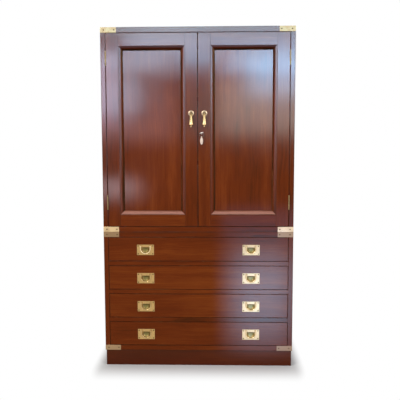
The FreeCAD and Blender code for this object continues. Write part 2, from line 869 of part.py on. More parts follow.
def pendant_pull():
    """A rose with cheeks and a stud, its pin, and the drop that swings on it. y = 0 is the door's
    face and z = 0 the pin's level."""
    thick = "rose_thickness"
    rose = turned(
        "rose_disc",
        "XY_Plane",
        [
            ("0", "0"),
            ("0", f"-{thick} / 2"),
            ("rose_hollow - rose_hollow_slope", f"-{thick} / 2"),
            ("rose_hollow", f"-{thick}"),
            ("rose_hollow + rose_land", f"-{thick}", "2 * rose_radius", 1),
            ("rose_radius - rose_rim", f"-{thick} * 0.6"),
            ("rose_radius - rose_rim + rose_rim_step", f"-{thick} * 0.7"),
            ("rose_radius - rose_rim_ease", f"-{thick} * 0.7"),
            ("rose_radius", f"-{thick} * 0.5"),
            ("rose_radius", "0"),
        ],
    )
    eye = ("-pull_reach", "0")
    stud_y = (f"-{thick} / 4", "pull_stud_length")
    items = [rose, rod("rose_stud", "pull_stud", "y", *stud_y, "0", "0")]
    gap = "(pull_eye_width / 2 + running_clearance)"
    for side, sign in sides:
        x = across(sign, gap, f"{gap} + pull_cheek")
        y = ("-pull_reach", f"-{thick} / 4")
        items.append(board(f"rose_cheek_{side}", x, y, ("-pull_eye", "pull_eye")))
        items.append(rod(f"rose_cheek_{side}_end", "pull_eye", "x", *x, *eye))
    reach = f"({gap} + pull_cheek)"
    bore = rod("rose_bore", "pull_pin + pin_clearance", "x", f"-{reach} - 1", f"{reach} + 1", *eye)
    whole = cut("rose", fuse("rose_blank", items), [bore])
    pin = rod("rose_pin", "pull_pin", "x", f"-{reach}", reach, *eye)
    foot = "(-drop_length)"
    cap = "(-pull_eye - drop_neck_length - drop_cap)"
    body = turned(
        "drop_body",
        "XZ_Plane",
        [
            ("0", "-pull_eye * 0.75"),
            ("drop_neck", "-pull_eye * 0.75"),
            ("drop_neck", "-pull_eye - drop_neck_length"),
            ("drop_shoulder - drop_cap_ease", f"{cap} + drop_cap_ease"),
            ("drop_shoulder", cap, "drop_flare", 1),
            ("drop_skirt", f"{foot} + drop_rim"),
            ("drop_skirt", f"{foot} + drop_rim_ease"),
            ("drop_skirt - drop_rim_ease", foot),
            ("finial_radius * 0.6", f"{foot} - finial_radius / 3"),
            ("finial_radius * 0.6", f"{foot} - finial_radius"),
            ("0", f"{foot} - finial_radius"),
        ],
    )
    ball = doc.addObject("Part::Sphere", "drop_finial")
    bind(ball, "Radius", "finial_radius")
    place(ball, "0", "0", f"{foot} - 1.8 * finial_radius")
    wide = ("-pull_eye_width / 2", "pull_eye_width / 2")
    ring = rod("drop_eye", "pull_eye", "x", *wide, "0", "0")
    bored = ("-pull_eye_width", "pull_eye_width")
    bore = rod("drop_bore", "pull_pin + pin_clearance", "x", *bored, "0", "0")
    drop = cut("drop", fuse("drop_blank", [body, ball, ring]), [bore])
    hole = "pull_stud + pin_clearance"
    hole = rod("rose_stud_hole", hole, "y", "-1", "pull_stud_length + pocket_clearance", "0", "0")
    return group("rose_and_pin", [whole, pin]), drop, hole


rose, drop, stud_hole = pendant_pull()


def pull_spot(sign, reach="0"):
    x = f"{sign} * ({door_near} + stile_width / 2)"
    return x, f"{front} - {reach}", f"{floor} + pull_level"


def lock():
    """The lock in the right door's meeting stile: case, bolt, their pocket, and the left strike."""
    z = (f"{lock_z} - lock_below", f"{lock_z} + lock_above")
    x = (door_near, f"{door_near} + lock_width")
    start = f"({door_back} - lock_depth)"
    tray = board("lock_tray", x, (start, door_back), z)
    flange_x = (door_near, f"{door_near} + lock_width + lock_flange")
    flange = board("lock_plate", flange_x, (f"{door_back} - lock_wall", door_back), z)
    hollow = board(
        "lock_hollow",
        (f"{x[0]} + lock_wall", f"{x[1]} - lock_wall"),
        (f"{start} - 1", f"{door_back} - lock_wall"),
        (f"{z[0]} + lock_wall", f"{z[1]} - lock_wall"),
    )
    bolt_y = (f"{start} + bolt_front", f"{start} + bolt_front + bolt_thickness")
    bolt_z = (f"{lock_z} + bolt_lift", f"{lock_z} + bolt_lift + bolt_height")
    bolt_x = (door_near, f"{door_near} + bolt_length")
    slot_x = (f"{door_near} - 1", f"{door_near} + lock_wall + 1")
    slot_y, slot_z = grown(bolt_y, "running_clearance"), grown(bolt_z, "running_clearance")
    slot = board("lock_slot", slot_x, slot_y, slot_z)
    middle = f"({lock_x} + lock_throw / 2)"
    talon = board(
        "lock_talon",
        (f"{middle} - talon_width / 2", f"{middle} + talon_width / 2"),
        grown(bolt_y, "1"),
        (f"{bolt_z[0]} - 1", f"{bolt_z[0]} + talon_depth"),
    )
    bolt = cut("lock_bolt", board("lock_bolt_blank", bolt_x, bolt_y, bolt_z), [talon])
    spots = [
        (f"{flange_x[1]} - lock_flange / 2", door_back, level, "+y")
        for level in (f"{z[0]} + lock_screw_set", f"{z[1]} - lock_screw_set")
    ]
    fixings, holes = screw_set("lock", spots)
    case = cut("lock_case", fuse("lock_case_blank", [tray, flange]), [hollow, slot] + holes)
    room = "joint_clearance"
    pocket_x = (f"{x[0]} - 1", f"{x[1]} + {room}")
    pocket = board("lock_pocket", pocket_x, (start, f"{door_back} + 1"), grown(z, room))
    plate_x = (f"{x[0]} - 1", f"{flange_x[1]} + {room}")
    plate_y = (f"{door_back} - lock_wall", f"{door_back} + 1")
    ledge = board("lock_ledge", plate_x, plate_y, grown(z, room))
    hole_y = (f"{front} - 1", f"{start} + 1")
    hole = rod("keyhole", "key_radius + running_clearance", "y", *hole_y, lock_x, lock_z)
    below = (f"{lock_z} - key_bit - running_clearance", lock_z)
    wide = (f"{lock_x} - keyhole_width / 2", f"{lock_x} + keyhole_width / 2")
    slit = board("keyhole_slit", wide, hole_y, below)
    stile_tools = [pocket, ledge, hole, slit] + holes
    strike_x = across(-1, door_near, f"{door_near} + strike_thickness")
    strike_y = (f"{bolt_y[0]} - strike_ahead", f"{bolt_y[1]} + strike_behind")
    strike_z = grown(bolt_z, "strike_margin")
    mouth_y, mouth_z = grown(bolt_y, "pocket_clearance"), grown(bolt_z, "pocket_clearance")
    mouth_x = across(-1, "0", f"lock_throw + {door_near}")
    mouth = board("strike_mouth", mouth_x, mouth_y, mouth_z)
    middle_y = f"({bolt_y[0]} + {bolt_y[1]}) / 2"
    ends = (f"{strike_z[0]} + strike_margin / 2", f"{strike_z[1]} - strike_margin / 2")
    spots = [(f"-{door_near}", middle_y, level, "+x") for level in ends]
    strike_screws, strike_holes = screw_set("strike", spots)
    plate = board("strike_blank", strike_x, strike_y, strike_z)
    strike = cut("lock_strike", plate, [mouth] + strike_holes)
    recess_x = across(-1, "0", f"{door_near} + strike_thickness")
    recess = board("strike_recess", recess_x, grown(strike_y, room), grown(strike_z, room))
    strike_tools = [recess, mouth] + strike_holes
    return case, bolt, fixings, stile_tools, strike, strike_screws, strike_tools


def key():
    """The key about its shank's axis, with y = 0 at the door's face and its bow and bit along x."""
    bow = "(key_bow - key_projection)"
    lock_front = "(door_thickness - lock_depth)"
    start = f"({lock_front} + bolt_front + (bolt_thickness - key_bit_length) / 2)"
    flat = ("-key_bow_thickness / 2", "key_bow_thickness / 2")
    plate = rod("key_bow_disc", "key_bow", "z", *flat, "0", bow)
    through = ("-key_bow_thickness", "key_bow_thickness")
    hole = rod("key_bow_gap", "key_bow_hole", "z", *through, "0", bow)
    ring = cut("key_bow_ring", plate, [hole])
    neck = f"({bow} + key_bow - key_bow_overlap)"
    collar = f"({neck} + key_collar_set)"
    collar_end = f"({collar} + key_collar)"
    end = f"({start} + key_bit_length)"
    shank = turned(
        "key_shank",
        "XY_Plane",
        [
            ("0", neck),
            ("key_radius", neck),
            ("key_radius", collar),
            ("key_radius + key_collar_rise", f"{collar} + key_collar_ease"),
            ("key_radius + key_collar_rise", f"{collar_end} - key_collar_ease"),
            ("key_radius", collar_end),
            ("key_radius", f"{end} - key_tip_ease"),
            ("key_radius - key_tip_ease", end),
            ("0", end),
        ],
    )
    thick = ("-key_bit_thickness / 2", "key_bit_thickness / 2")
    bit_y = (start, f"{end} - key_tip_ease")
    bit = board("key_bit_plate", ("0", "key_bit"), bit_y, thick)
    whole = fuse("key_whole", [ring, shank, bit])
    tilted = copy("key_turned", whole, lock_x, front, lock_z, (0, -1, 0), sizes["key_tilt"])
    bind(tilted, "Placement.Rotation.Angle", "key_tilt")
    return group("key", [tilted])


def key_fob():
    """The ring round the key's neck and the fob that hangs on it."""
    level = f"({lock_z} + key_radius + running_clearance + ring_wire - ring_radius)"
    ahead = f"({front} - (key_projection - 2 * key_bow) / 2)"
    wire = doc.addObject("Part::Torus", "ring_wire_loop")
    bind(wire, "Radius1", "ring_radius")
    bind(wire, "Radius2", "ring_wire")
    place(turn(wire, (1, 0, 0), 90), lock_x, ahead, level)
    low = f"({level} - ring_radius)"
    wide = (f"{lock_x} - fob_eye_width / 2", f"{lock_x} + fob_eye_width / 2")
    eye = rod("fob_loop", "fob_eye", "x", *wide, ahead, low)
    almond = doc.addObject("Part::Ellipsoid", "fob_almond")
    bind(almond, "Radius1", "fob_length / 2")
    bind(almond, "Radius2", "fob_width / 2")
    bind(almond, "Radius3", "fob_thickness / 2")
    place(almond, lock_x, ahead, f"{low} - fob_eye * 0.6 - fob_length / 2")
    loose = (f"{lock_x} - fob_width", f"{lock_x} + fob_width")
    bore = rod("fob_bore", "ring_wire + fob_eye_play", "x", *loose, ahead, low)
    fob = cut("key_fob", fuse("fob_blank", [eye, almond]), [bore])
    return group("key_ring", [wire]), fob


def doors():
    case, bolt, lock_screws, stile_tools, strike, strike_screws, strike_tools = lock()
    ring, fob = key_fob()
    nodes = [case, bolt, strike, key(), ring, fob]
    for side, sign in sides:
        hinge_tools = hung(f"{side}_door_recess", door_recess, sign)
        meeting_tools = [copy(f"{side}_stud_hole", stud_hole, *pull_spot(sign))]
        fixings = hung(f"{side}_door_leaf_screws", door_leaf_screws, sign)
        if sign < 0:
            meeting_tools += strike_tools + bolted("slide_hole", slide_holes)
            fixings += strike_screws + bolted("slide_screw", slide_screws)
            nodes.append(group("slide_bolt_plates", bolted("slide_housing", slide_housing)))
            bars = bolted("slide_bar", slide_bar)
            nodes.append(group("top_slide_bolt", [bars[0]]))
            nodes.append(group("bottom_slide_bolt", [bars[1]]))
        else:
            meeting_tools += stile_tools
            fixings += lock_screws
        frame, panel = door_frame(side, sign, hinge_tools, meeting_tools)
        leaves = hung(f"{side}_door_leaf", door_leaf, sign)
        rose_spot, drop_spot = pull_spot(sign), pull_spot(sign, "pull_reach")
        nodes += [
            frame,
            panel,
            door_moulding(side, sign),
            group(f"{side}_door_hinge_leaves", leaves),
            group(f"{side}_door_screws", fixings),
            group(f"{side}_pull_rose", [copy(f"{side}_rose", rose, *rose_spot)]),
            group(f"{side}_pull_drop", [copy(f"{side}_drop", drop, *drop_spot)]),
        ]
    return nodes


def flush_pull():
    """A recessed pull: plate with a cup and lugs, screws, a bail on its pivot, and the pocket for
    it. y = 0 is the drawer's face and z = 0 the plate's middle."""
    ahead, behind = "(-brass_proud)", "(plate_thickness - brass_proud)"
    x = ("-plate_width / 2", "plate_width / 2")
    z = ("-plate_height / 2", "plate_height / 2")
    flat = board("pull_plate_flat", x, (ahead, behind), z)
    plate = eased("pull_plate_eased", flat, "edge_ease")

    def bowl(name, radius, y, room):
        wide = (f"-({radius})", radius)
        top = f"cup_top + {room}"
        disc = rod(f"{name}_disc", radius, "y", *y, "0", "cup_centre")
        above = (top, f"cup_centre + {radius} + 1")
        lid = board(f"{name}_lid", grown(wide, "1"), grown(y, "1"), above)
        return [board(f"{name}_square", wide, y, ("cup_centre", top)), cut(f"{name}_round", disc, [lid])]

    outer_y = (f"{behind} - 1", "cup_depth")
    outer = bowl("cup_outside", "cup_radius + cup_wall", outer_y, "cup_wall")
    inside = bowl("cup_inside", "cup_radius", (f"{ahead} - 1", "cup_depth - cup_wall"), "0")
    room = "cup_wall + pocket_clearance"
    pocket_y = ("0", "cup_depth + joint_clearance")
    pocket = bowl("cup_pocket", f"cup_radius + {room}", pocket_y, room)
    pivot_y = f"({ahead} - bail_eye - running_clearance)"
    pivot = (pivot_y, "bail_pivot")
    arm = "(bail_radius - bail_rod - running_clearance)"
    lugs = []
    for side, sign in sides:
        lug_x = across(sign, f"{arm} - bail_lug", arm)
        tall = ("bail_pivot - bail_rod", "bail_pivot + bail_rod")
        lugs.append(board(f"pull_lug_{side}", lug_x, (pivot_y, f"{ahead} + 1"), tall))
        lugs.append(rod(f"pull_lug_{side}_end", "bail_rod", "x", *lug_x, *pivot))
    bore_x = (f"-{arm} - 1", f"{arm} + 1")
    bore = rod("pull_bore", "bail_pin + pin_clearance", "x", *bore_x, *pivot)
    inset = "plate_screw_inset"
    spots = [
        (f"{i} * (plate_width / 2 - {inset})", ahead, f"{k} * (plate_height / 2 - {inset})", "-y")
        for i in (-1, 1)
        for k in (-1, 1)
    ]
    fixings, holes = screw_set("pull", spots)
    whole = fuse("pull_plate_blank", [plate] + outer + lugs)
    drilled = cut("pull_plate", whole, inside + [bore] + holes)
    let_in = board("pull_plate_pocket", x, ("-1", behind), z)
    recess = fuse("pull_pocket", [let_in] + pocket + holes)
    return group("pull_set", [drilled] + fixings), bail(), recess


def bail():
    """The U-shaped bail about its pivot."""
    low = "(-bail_arm)"
    loop = doc.addObject("Part::Torus", "bail_loop")
    bind(loop, "Radius1", "bail_radius")
    bind(loop, "Radius2", "bail_rod")
    loop.Angle3 = 180
    place(turn(loop, (1, 0, 0), -90), "0", "0", low)
    items = [loop]
    for side, sign in sides:
        away = f"{sign} * bail_radius"
        items.append(rod(f"bail_arm_{side}", "bail_rod", "z", low, "0", away, "0"))
        eye = across(sign, "bail_radius - bail_rod", "bail_radius + bail_rod")
        items.append(rod(f"bail_eye_{side}", "bail_eye", "x", *eye, "0", "0"))
        near = "bail_radius - bail_rod - running_clearance - bail_lug"
        reach = across(sign, near, "bail_radius")
        items.append(rod(f"bail_pin_{side}", "bail_pin", "x", *reach, "0", "0"))
    return fuse("bail", items)


def drawer():
    """One drawer with its opening's bottom at z = 0: a lapped dovetailed front, and the box."""
    out = f"({inner} - drawer_gap)"
    high = "(drawer_opening - drawer_headroom)"
    end = f"({front} + drawer_depth)"
    shoulder = f"({front} + drawer_front)"
    tip = f"({front} + drawer_lap)"
    pitch = "((drawer_opening - 2.5 * tail_margin) / 3)"
    outline = [(end, "slide_clearance"), (end, high), (shoulder, high)]
    for k in (2, 1, 0):
        middle = f"(tail_margin + {pitch} * {k + 0.5})"
        root = f"(({pitch} - tail_pin) / 2)"
        outline += [
            (shoulder, f"{middle} + {root}"),
            (tip, f"{middle} + {root} + tail_flare"),
            (tip, f"{middle} - {root} - tail_flare"),
            (shoulder, f"{middle} - {root}"),
        ]
    outline.append((shoulder, "slide_clearance"))
    reach = f"({out} - drawer_side + drawer_groove)"
    room = "joint_clearance"
    under = "drawer_bottom_lift"
    over = "(drawer_bottom_lift + drawer_bottom)"
    x = (f"-{reach}", reach)
    y = (f"{shoulder} - drawer_groove", end)
    bottom = board("drawer_base", x, y, (under, over))
    y = (f"{shoulder} - drawer_groove - {room}", f"{end} + 1")
    groove = board("drawer_base_groove", grown(x, room), y, grown((under, over), room))
    y = (f"{end} - drawer_back_set - drawer_side", f"{end} - drawer_back_set")
    z = (f"{over} + {room}", f"{high} - drawer_back_drop")
    rear = board("drawer_rear", x, y, z)
    housing = board("drawer_rear_housing", grown(x, room), grown(y, room), grown(z, room))
    pieces, tails = [bottom, rear], []
    for side, sign in sides:
        blank = prism(f"drawer_{side}_tails", "YZ_Plane", outline, "drawer_side")
        bind(blank, "Placement.Base.x", across(sign, f"{out} - drawer_side", out)[0])
        tails.append(blank)
        pieces.append(cut(f"drawer_{side}_side", blank, [groove, housing]))
    tall = ("drawer_gap", "drawer_opening - drawer_gap")
    face = board("drawer_face_blank", (f"-{out}", out), (front, shoulder), tall)
    pull, swing, pocket = flush_pull()
    pockets = [
        copy(f"pull_pocket_{side}", pocket, f"{sign} * pull_spread", front, plate_middle)
        for side, sign in sides
    ]
    soft = eased("drawer_face_eased", face, "edge_ease")
    return cut("drawer_face", soft, tails + [groove] + pockets), pieces, pull, swing


def drawer_nodes():
    face, pieces, pull, swing = drawer()
    nodes = []
    for n in drawers:
        low = opening(n)
        name = f"drawer_{n}"
        boxed = [copy(f"{name}_{p.Name}", p, "0", "0", low) for p in pieces]
        plates = []
        for side, sign in sides:
            spot = (f"{sign} * pull_spread", front, f"{low} + {plate_middle}")
            plates.append(copy(f"{name}_{side}_pull", pull, *spot))
            lift = f"{low} + {plate_middle} + bail_pivot"
            spot = (spot[0], f"{front} - brass_proud - bail_eye - running_clearance", lift)
            swung = copy(f"{name}_{side}_swing", swing, *spot)
            nodes.append(group(f"{name}_{side}_bail", [swung]))
        nodes.append(group(f"{name}_front", [copy(f"{name}_face", face, "0", "0", low)]))
        nodes.append(group(f"{name}_box", boxed))
        nodes.append(group(f"{name}_pull_plates", plates))
    return nodes


nodes = carcass() + doors() + drawer_nodes()
doc.recompute()
for item in doc.Objects:
    if "Invalid" in item.State or "Error" in item.State:
        raise RuntimeError(f"{item.Name} failed to rebuild: {item.State}")
os.makedirs("parts", exist_ok=True)
for node in nodes:
    shape = node.Shape
    if shape.isNull() or not shape.isValid() or not shape.Solids:
        raise RuntimeError(f"{node.Label} has no valid solid")
    shape.exportStep(f"parts/{node.Label}.step")
print(len(nodes), "nodes written")
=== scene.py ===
import json
import math
import random

import bmesh
import bpy
from mathutils import Matrix, Vector


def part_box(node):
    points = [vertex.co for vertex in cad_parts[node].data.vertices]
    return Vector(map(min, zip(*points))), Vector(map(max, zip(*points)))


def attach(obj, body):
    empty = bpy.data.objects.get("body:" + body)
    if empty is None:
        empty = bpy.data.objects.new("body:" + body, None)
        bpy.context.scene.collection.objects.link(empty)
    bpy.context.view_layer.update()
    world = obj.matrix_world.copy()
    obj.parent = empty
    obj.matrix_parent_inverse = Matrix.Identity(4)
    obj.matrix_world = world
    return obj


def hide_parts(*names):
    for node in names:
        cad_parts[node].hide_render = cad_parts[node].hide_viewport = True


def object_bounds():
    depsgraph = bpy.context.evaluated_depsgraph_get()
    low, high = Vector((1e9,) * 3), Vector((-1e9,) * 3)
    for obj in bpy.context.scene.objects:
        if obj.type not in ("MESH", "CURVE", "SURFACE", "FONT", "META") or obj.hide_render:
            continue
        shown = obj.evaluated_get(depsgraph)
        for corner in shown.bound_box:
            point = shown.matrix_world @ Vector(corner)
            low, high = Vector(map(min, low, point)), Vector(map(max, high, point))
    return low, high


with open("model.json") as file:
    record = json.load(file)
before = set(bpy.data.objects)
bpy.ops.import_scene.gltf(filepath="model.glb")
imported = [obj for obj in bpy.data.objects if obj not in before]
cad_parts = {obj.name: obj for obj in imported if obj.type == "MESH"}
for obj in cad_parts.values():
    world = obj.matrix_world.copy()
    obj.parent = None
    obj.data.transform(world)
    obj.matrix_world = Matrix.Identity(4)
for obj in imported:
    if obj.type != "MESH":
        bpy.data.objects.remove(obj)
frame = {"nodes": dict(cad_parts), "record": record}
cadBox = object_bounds()
scene = bpy.context.scene
cad = frame["nodes"]
bodyOf = {n: body for body, group in frame["record"]["behaviour"]["bodies"].items() for n in group}
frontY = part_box("left_door_frame")[0].y  # the plane of the doors and drawer fronts
sides = ("left", "right")
drawers = (1, 2, 3, 4)  # from the top down
print("frame loaded:", len(cad), "nodes")


# short ways to build node trees
def feed(tree, socket, value):
    if isinstance(value, bpy.types.NodeSocket):
        tree.links.new(value, socket)
    else:
        socket.default_value = value


def wire(tree, kind, sockets=None, **settings):
    node = tree.nodes.new(kind)
    for name, value in settings.items():
        setattr(node, name, value)
    for name, value in (sockets or {}).items():
        feed(tree, node.inputs[name], value)
    return node


def calc(tree, operation, a, b):
    return wire(tree, "ShaderNodeMath", {0: a, 1: b}, operation=operation).outputs[0]


def plus(tree, a, b):
    return calc(tree, "ADD", a, b)


def minus(tree, a, b):
    return calc(tree, "SUBTRACT", a, b)


def times(tree, a, b):
    return calc(tree, "MULTIPLY", a, b)


def larger(tree, a, b):
    return calc(tree, "MAXIMUM", a, b)


def vectorCalc(tree, operation, a, b=(0, 0, 0), c=(0, 0, 0)):
    node = wire(tree, "ShaderNodeVectorMath", {0: a, 1: b, 2: c}, operation=operation)
    return node.outputs["Value" if operation == "LENGTH" else "Vector"]


def ramp(tree, value, low, high):
    sockets = {"Value": value, "From Min": low, "From Max": high}
    return wire(tree, "ShaderNodeMapRange", sockets, interpolation_type="SMOOTHSTEP").outputs["Result"]


def blendColour(tree, factor, a, b):
    node = wire(tree, "ShaderNodeMix", data_type="RGBA")
    for place, value in ((0, factor), (6, a), (7, b)):  # the colour sockets of a Mix node
        feed(tree, node.inputs[place], value)
    return node.outputs[2]


def streaks(tree, place, scale, detail, seed):
    if not isinstance(scale, tuple):
        scale = (scale, scale, scale)
    mapped = wire(tree, "ShaderNodeMapping", {"Vector": place, "Scale": scale, "Location": seed})
    sockets = {"Vector": mapped.outputs[0], "Scale": 1.0, "Detail": detail, "Roughness": 0.6}
    return wire(tree, "ShaderNodeTexNoise", sockets).outputs["Fac"]


def painted(tree, name, output="Fac"):
    return wire(tree, "ShaderNodeAttribute", attribute_name=name).outputs[output]


def objectPlace(tree):
    return wire(tree, "ShaderNodeTexCoord").outputs["Object"]


def newGroup(name, inputs, outputs):
    group = bpy.data.node_groups.new(name, "ShaderNodeTree")
    kinds = {"value": "NodeSocketFloat", "colour": "NodeSocketColor", "vector": "NodeSocketVector"}
    for label, kind, default in inputs:
        socket = group.interface.new_socket(label, in_out="INPUT", socket_type=kinds[kind])
        socket.default_value = default
    for label, kind in outputs:
        group.interface.new_socket(label, in_out="OUTPUT", socket_type=kinds[kind])
    return group, group.nodes.new("NodeGroupInput").outputs, group.nodes.new("NodeGroupOutput").inputs


def rgb(r, g, b):
    return (r, g, b, 1.0)


# effects that several finishes share
figureLook = {
    # repeats in a metre, along the grain and across it where there are two
    "broad": (0.9, 20.0), "fine": (3.5, 170.0), "flame": (2.2, 6.5), "pores": (26.0, 1100.0),
    "sway": 2.3, "smudge": 7.0,
    "bend": 0.05,  # metres that the grain sways
    "poreEdge": (0.56, 0.68), "toMiddle": (0.26, 0.52), "toLight": (0.48, 0.78),
    "broadShare": 0.62, "boardShare": 0.06, "poreDark": 0.6, "fineRelief": 0.35,
}


def makeWoodFigure():
    group, given, result = newGroup(
        "woodFigure",
        [
            ("Grain place", "vector", (0, 0, 0)),  # metres, x runs along the grain
            ("Board tone", "value", 0.0),
            ("Dark", "colour", rgb(0.05, 0.01, 0.003)),
            ("Middle", "colour", rgb(0.12, 0.02, 0.005)),
            ("Light", "colour", rgb(0.2, 0.05, 0.013)),
            ("Figure", "value", 0.35),
            ("Pores", "value", 0.5),
        ],
        [("Colour", "colour"), ("Pore mask", "value"), ("Smudge", "value"), ("Height", "value")],
    )
    place = given["Grain place"]
    sway = wire(group, "ShaderNodeTexNoise", {"Vector": place, "Scale": figureLook["sway"], "Detail": 2.0})
    centred = vectorCalc(group, "SUBTRACT", sway.outputs["Color"], (0.5, 0.5, 0.5))
    bend = (0.0, figureLook["bend"], figureLook["bend"])
    bent = vectorCalc(group, "MULTIPLY_ADD", centred, bend, place)

    def grain(kind, detail, seed):
        along, across = figureLook[kind]
        return streaks(group, bent, (along, across, across), detail, seed)

    broad = grain("broad", 5.0, (0, 0, 0))
    fine = grain("fine", 4.0, (3, 7, 1))
    flame = grain("flame", 3.0, (9, 2, 5))
    pores = grain("pores", 1.0, (1, 4, 8))
    poreMask = times(group, ramp(group, pores, *figureLook["poreEdge"]), given["Pores"])
    tone = times(group, broad, figureLook["broadShare"])
    tone = plus(group, tone, times(group, fine, 1 - figureLook["broadShare"]))
    tone = plus(group, tone, times(group, minus(group, flame, 0.5), given["Figure"]))
    tone = plus(group, tone, times(group, given["Board tone"], figureLook["boardShare"]))
    under = blendColour(group, ramp(group, tone, *figureLook["toMiddle"]), given["Dark"], given["Middle"])
    colour = blendColour(group, ramp(group, tone, *figureLook["toLight"]), under, given["Light"])
    colour = blendColour(group, times(group, poreMask, figureLook["poreDark"]), colour, given["Dark"])
    smudge = streaks(group, place, figureLook["smudge"], 3.0, (2, 2, 6))
    relief = minus(group, times(group, fine, figureLook["fineRelief"]), poreMask)
    group.links.new(colour, result["Colour"])
    group.links.new(poreMask, result["Pore mask"])
    group.links.new(smudge, result["Smudge"])
    group.links.new(relief, result["Height"])
    return group


wearAndShadeLook = {"patch": 14.0, "waxAndShadePatch": (0.2, 0.6), "rubPatch": (0.35, 0.75)}  # patch repeats in a metre


def makeEdgeWearAndShade():
    group, given, result = newGroup(
        "edgeWearAndShade",
        [
            ("Colour", "colour", rgb(0.1, 0.1, 0.1)),
            ("Rubbed", "colour", rgb(0.3, 0.1, 0.04)),
            ("Old wax and gap shade", "colour", rgb(0.01, 0.002, 0.001)),
            ("Arris", "value", 0.0),  # 1 on an eased arris
            ("Board place", "vector", (0, 0, 0)),
            ("Board middle", "vector", (0, 0, 0)),
            ("Board half", "vector", (1, 1, 1)),
            ("Rub", "value", 0.5),
            ("Wax and shade", "value", 0.5),
            ("Wax and shade width", "value", 0.006),
        ],
        [("Colour", "colour"), ("Wax and shade mask", "value")],
    )
    off = vectorCalc(group, "SUBTRACT", given["Board place"], given["Board middle"])
    inside = vectorCalc(group, "SUBTRACT", given["Board half"], vectorCalc(group, "ABSOLUTE", off))
    inset = wire(group, "ShaderNodeSeparateXYZ", {0: inside}).outputs
    low, high = (calc(group, way, inset[0], inset[1]) for way in ("MINIMUM", "MAXIMUM"))
    toArris = larger(group, low, calc(group, "MINIMUM", high, inset[2]))  # the middle one of three
    patch = streaks(group, given["Board place"], wearAndShadeLook["patch"], 4.0, (5, 1, 3))
    # painted shade: a dark band within a set width of each board's arrises, partly real old wax and partly
    # the shade in the gaps between parts
    near = minus(group, 1.0, calc(group, "DIVIDE", toArris, given["Wax and shade width"]))
    wax_and_shade = times(group, ramp(group, near, 0.0, 1.0), given["Wax and shade"])
    wax_and_shade = times(group, wax_and_shade, ramp(group, patch, *wearAndShadeLook["waxAndShadePatch"]))
    colour = blendColour(group, wax_and_shade, given["Colour"], given["Old wax and gap shade"])
    rub = times(group, given["Arris"], ramp(group, patch, *wearAndShadeLook["rubPatch"]))
    rub = times(group, rub, given["Rub"])
    group.links.new(blendColour(group, rub, colour, given["Rubbed"]), result["Colour"])
    group.links.new(wax_and_shade, result["Wax and shade mask"])
    return group


ageLook = {
    "cloud": 38.0, "speck": 420.0, "scratch": (900.0, 900.0, 60.0),  # repeats in a metre
    "cloudEdge": (0.38, 0.72), "speckEdge": (0.66, 0.8), "speckShare": 0.6,
    "blur": 0.2, "dullBlur": 0.3, "scratchBlur": 0.08, "relief": 0.08, "reliefDepth": 0.0002,
}


def makeMetalAge():
    group, given, result = newGroup(
        "metalAge",
        [
            ("Place", "vector", (0, 0, 0)),
            ("Bright", "colour", rgb(0.85, 0.65, 0.33)),
            ("Dull", "colour", rgb(0.45, 0.28, 0.09)),
            ("Sunk", "value", 0.0),  # darker and duller where this is 1: painted shade about a rose's pin, the depth of a plate's cup, the age given to a strap
            ("Tarnish", "value", 0.4),
        ],
        [("Colour", "colour"), ("Roughness", "value"), ("Height", "value")],
    )
    cloud = streaks(group, given["Place"], ageLook["cloud"], 5.0, (4, 4, 2))
    speck = streaks(group, given["Place"], ageLook["speck"], 2.0, (6, 1, 9))
    scratch = streaks(group, given["Place"], ageLook["scratch"], 2.0, (2, 8, 3))
    dull = times(group, ramp(group, cloud, *ageLook["cloudEdge"]), given["Tarnish"])
    dull = larger(group, dull, given["Sunk"])
    specks = times(group, ramp(group, speck, *ageLook["speckEdge"]), ageLook["speckShare"])
    dull = larger(group, dull, specks)
    rough = plus(group, times(group, dull, ageLook["dullBlur"]), ageLook["blur"])
    rough = plus(group, rough, times(group, scratch, ageLook["scratchBlur"]))
    group.links.new(blendColour(group, dull, given["Bright"], given["Dull"]), result["Colour"])
    group.links.new(rough, result["Roughness"])
    group.links.new(scratch, result["Height"])
    return group


woodFigure = makeWoodFigure()
edgeWearAndShade = makeEdgeWearAndShade()
metalAge = makeMetalAge()
print("shared effects ready")


def blankFinish(name, **shader):
    finish = bpy.data.materials.new(name)
    finish.use_nodes = True
    tree = finish.node_tree
    surface = tree.nodes["Principled BSDF"]
    for label, value in shader.items():
        surface.inputs[label.replace("_", " ")].default_value = value
    return finish, tree, surface


def bump(tree, surface, height, strength, distance):
    node = wire(tree, "ShaderNodeBump", {"Height": height, "Strength": strength, "Distance": distance})
    tree.links.new(node.outputs[0], surface.inputs["Normal"])


blurLook = {"smudge": 0.08, "pores": 0.06, "wax_and_shade": 0.35}  # what each adds to the blur of the polish
grainDepth = 0.0004  # metres


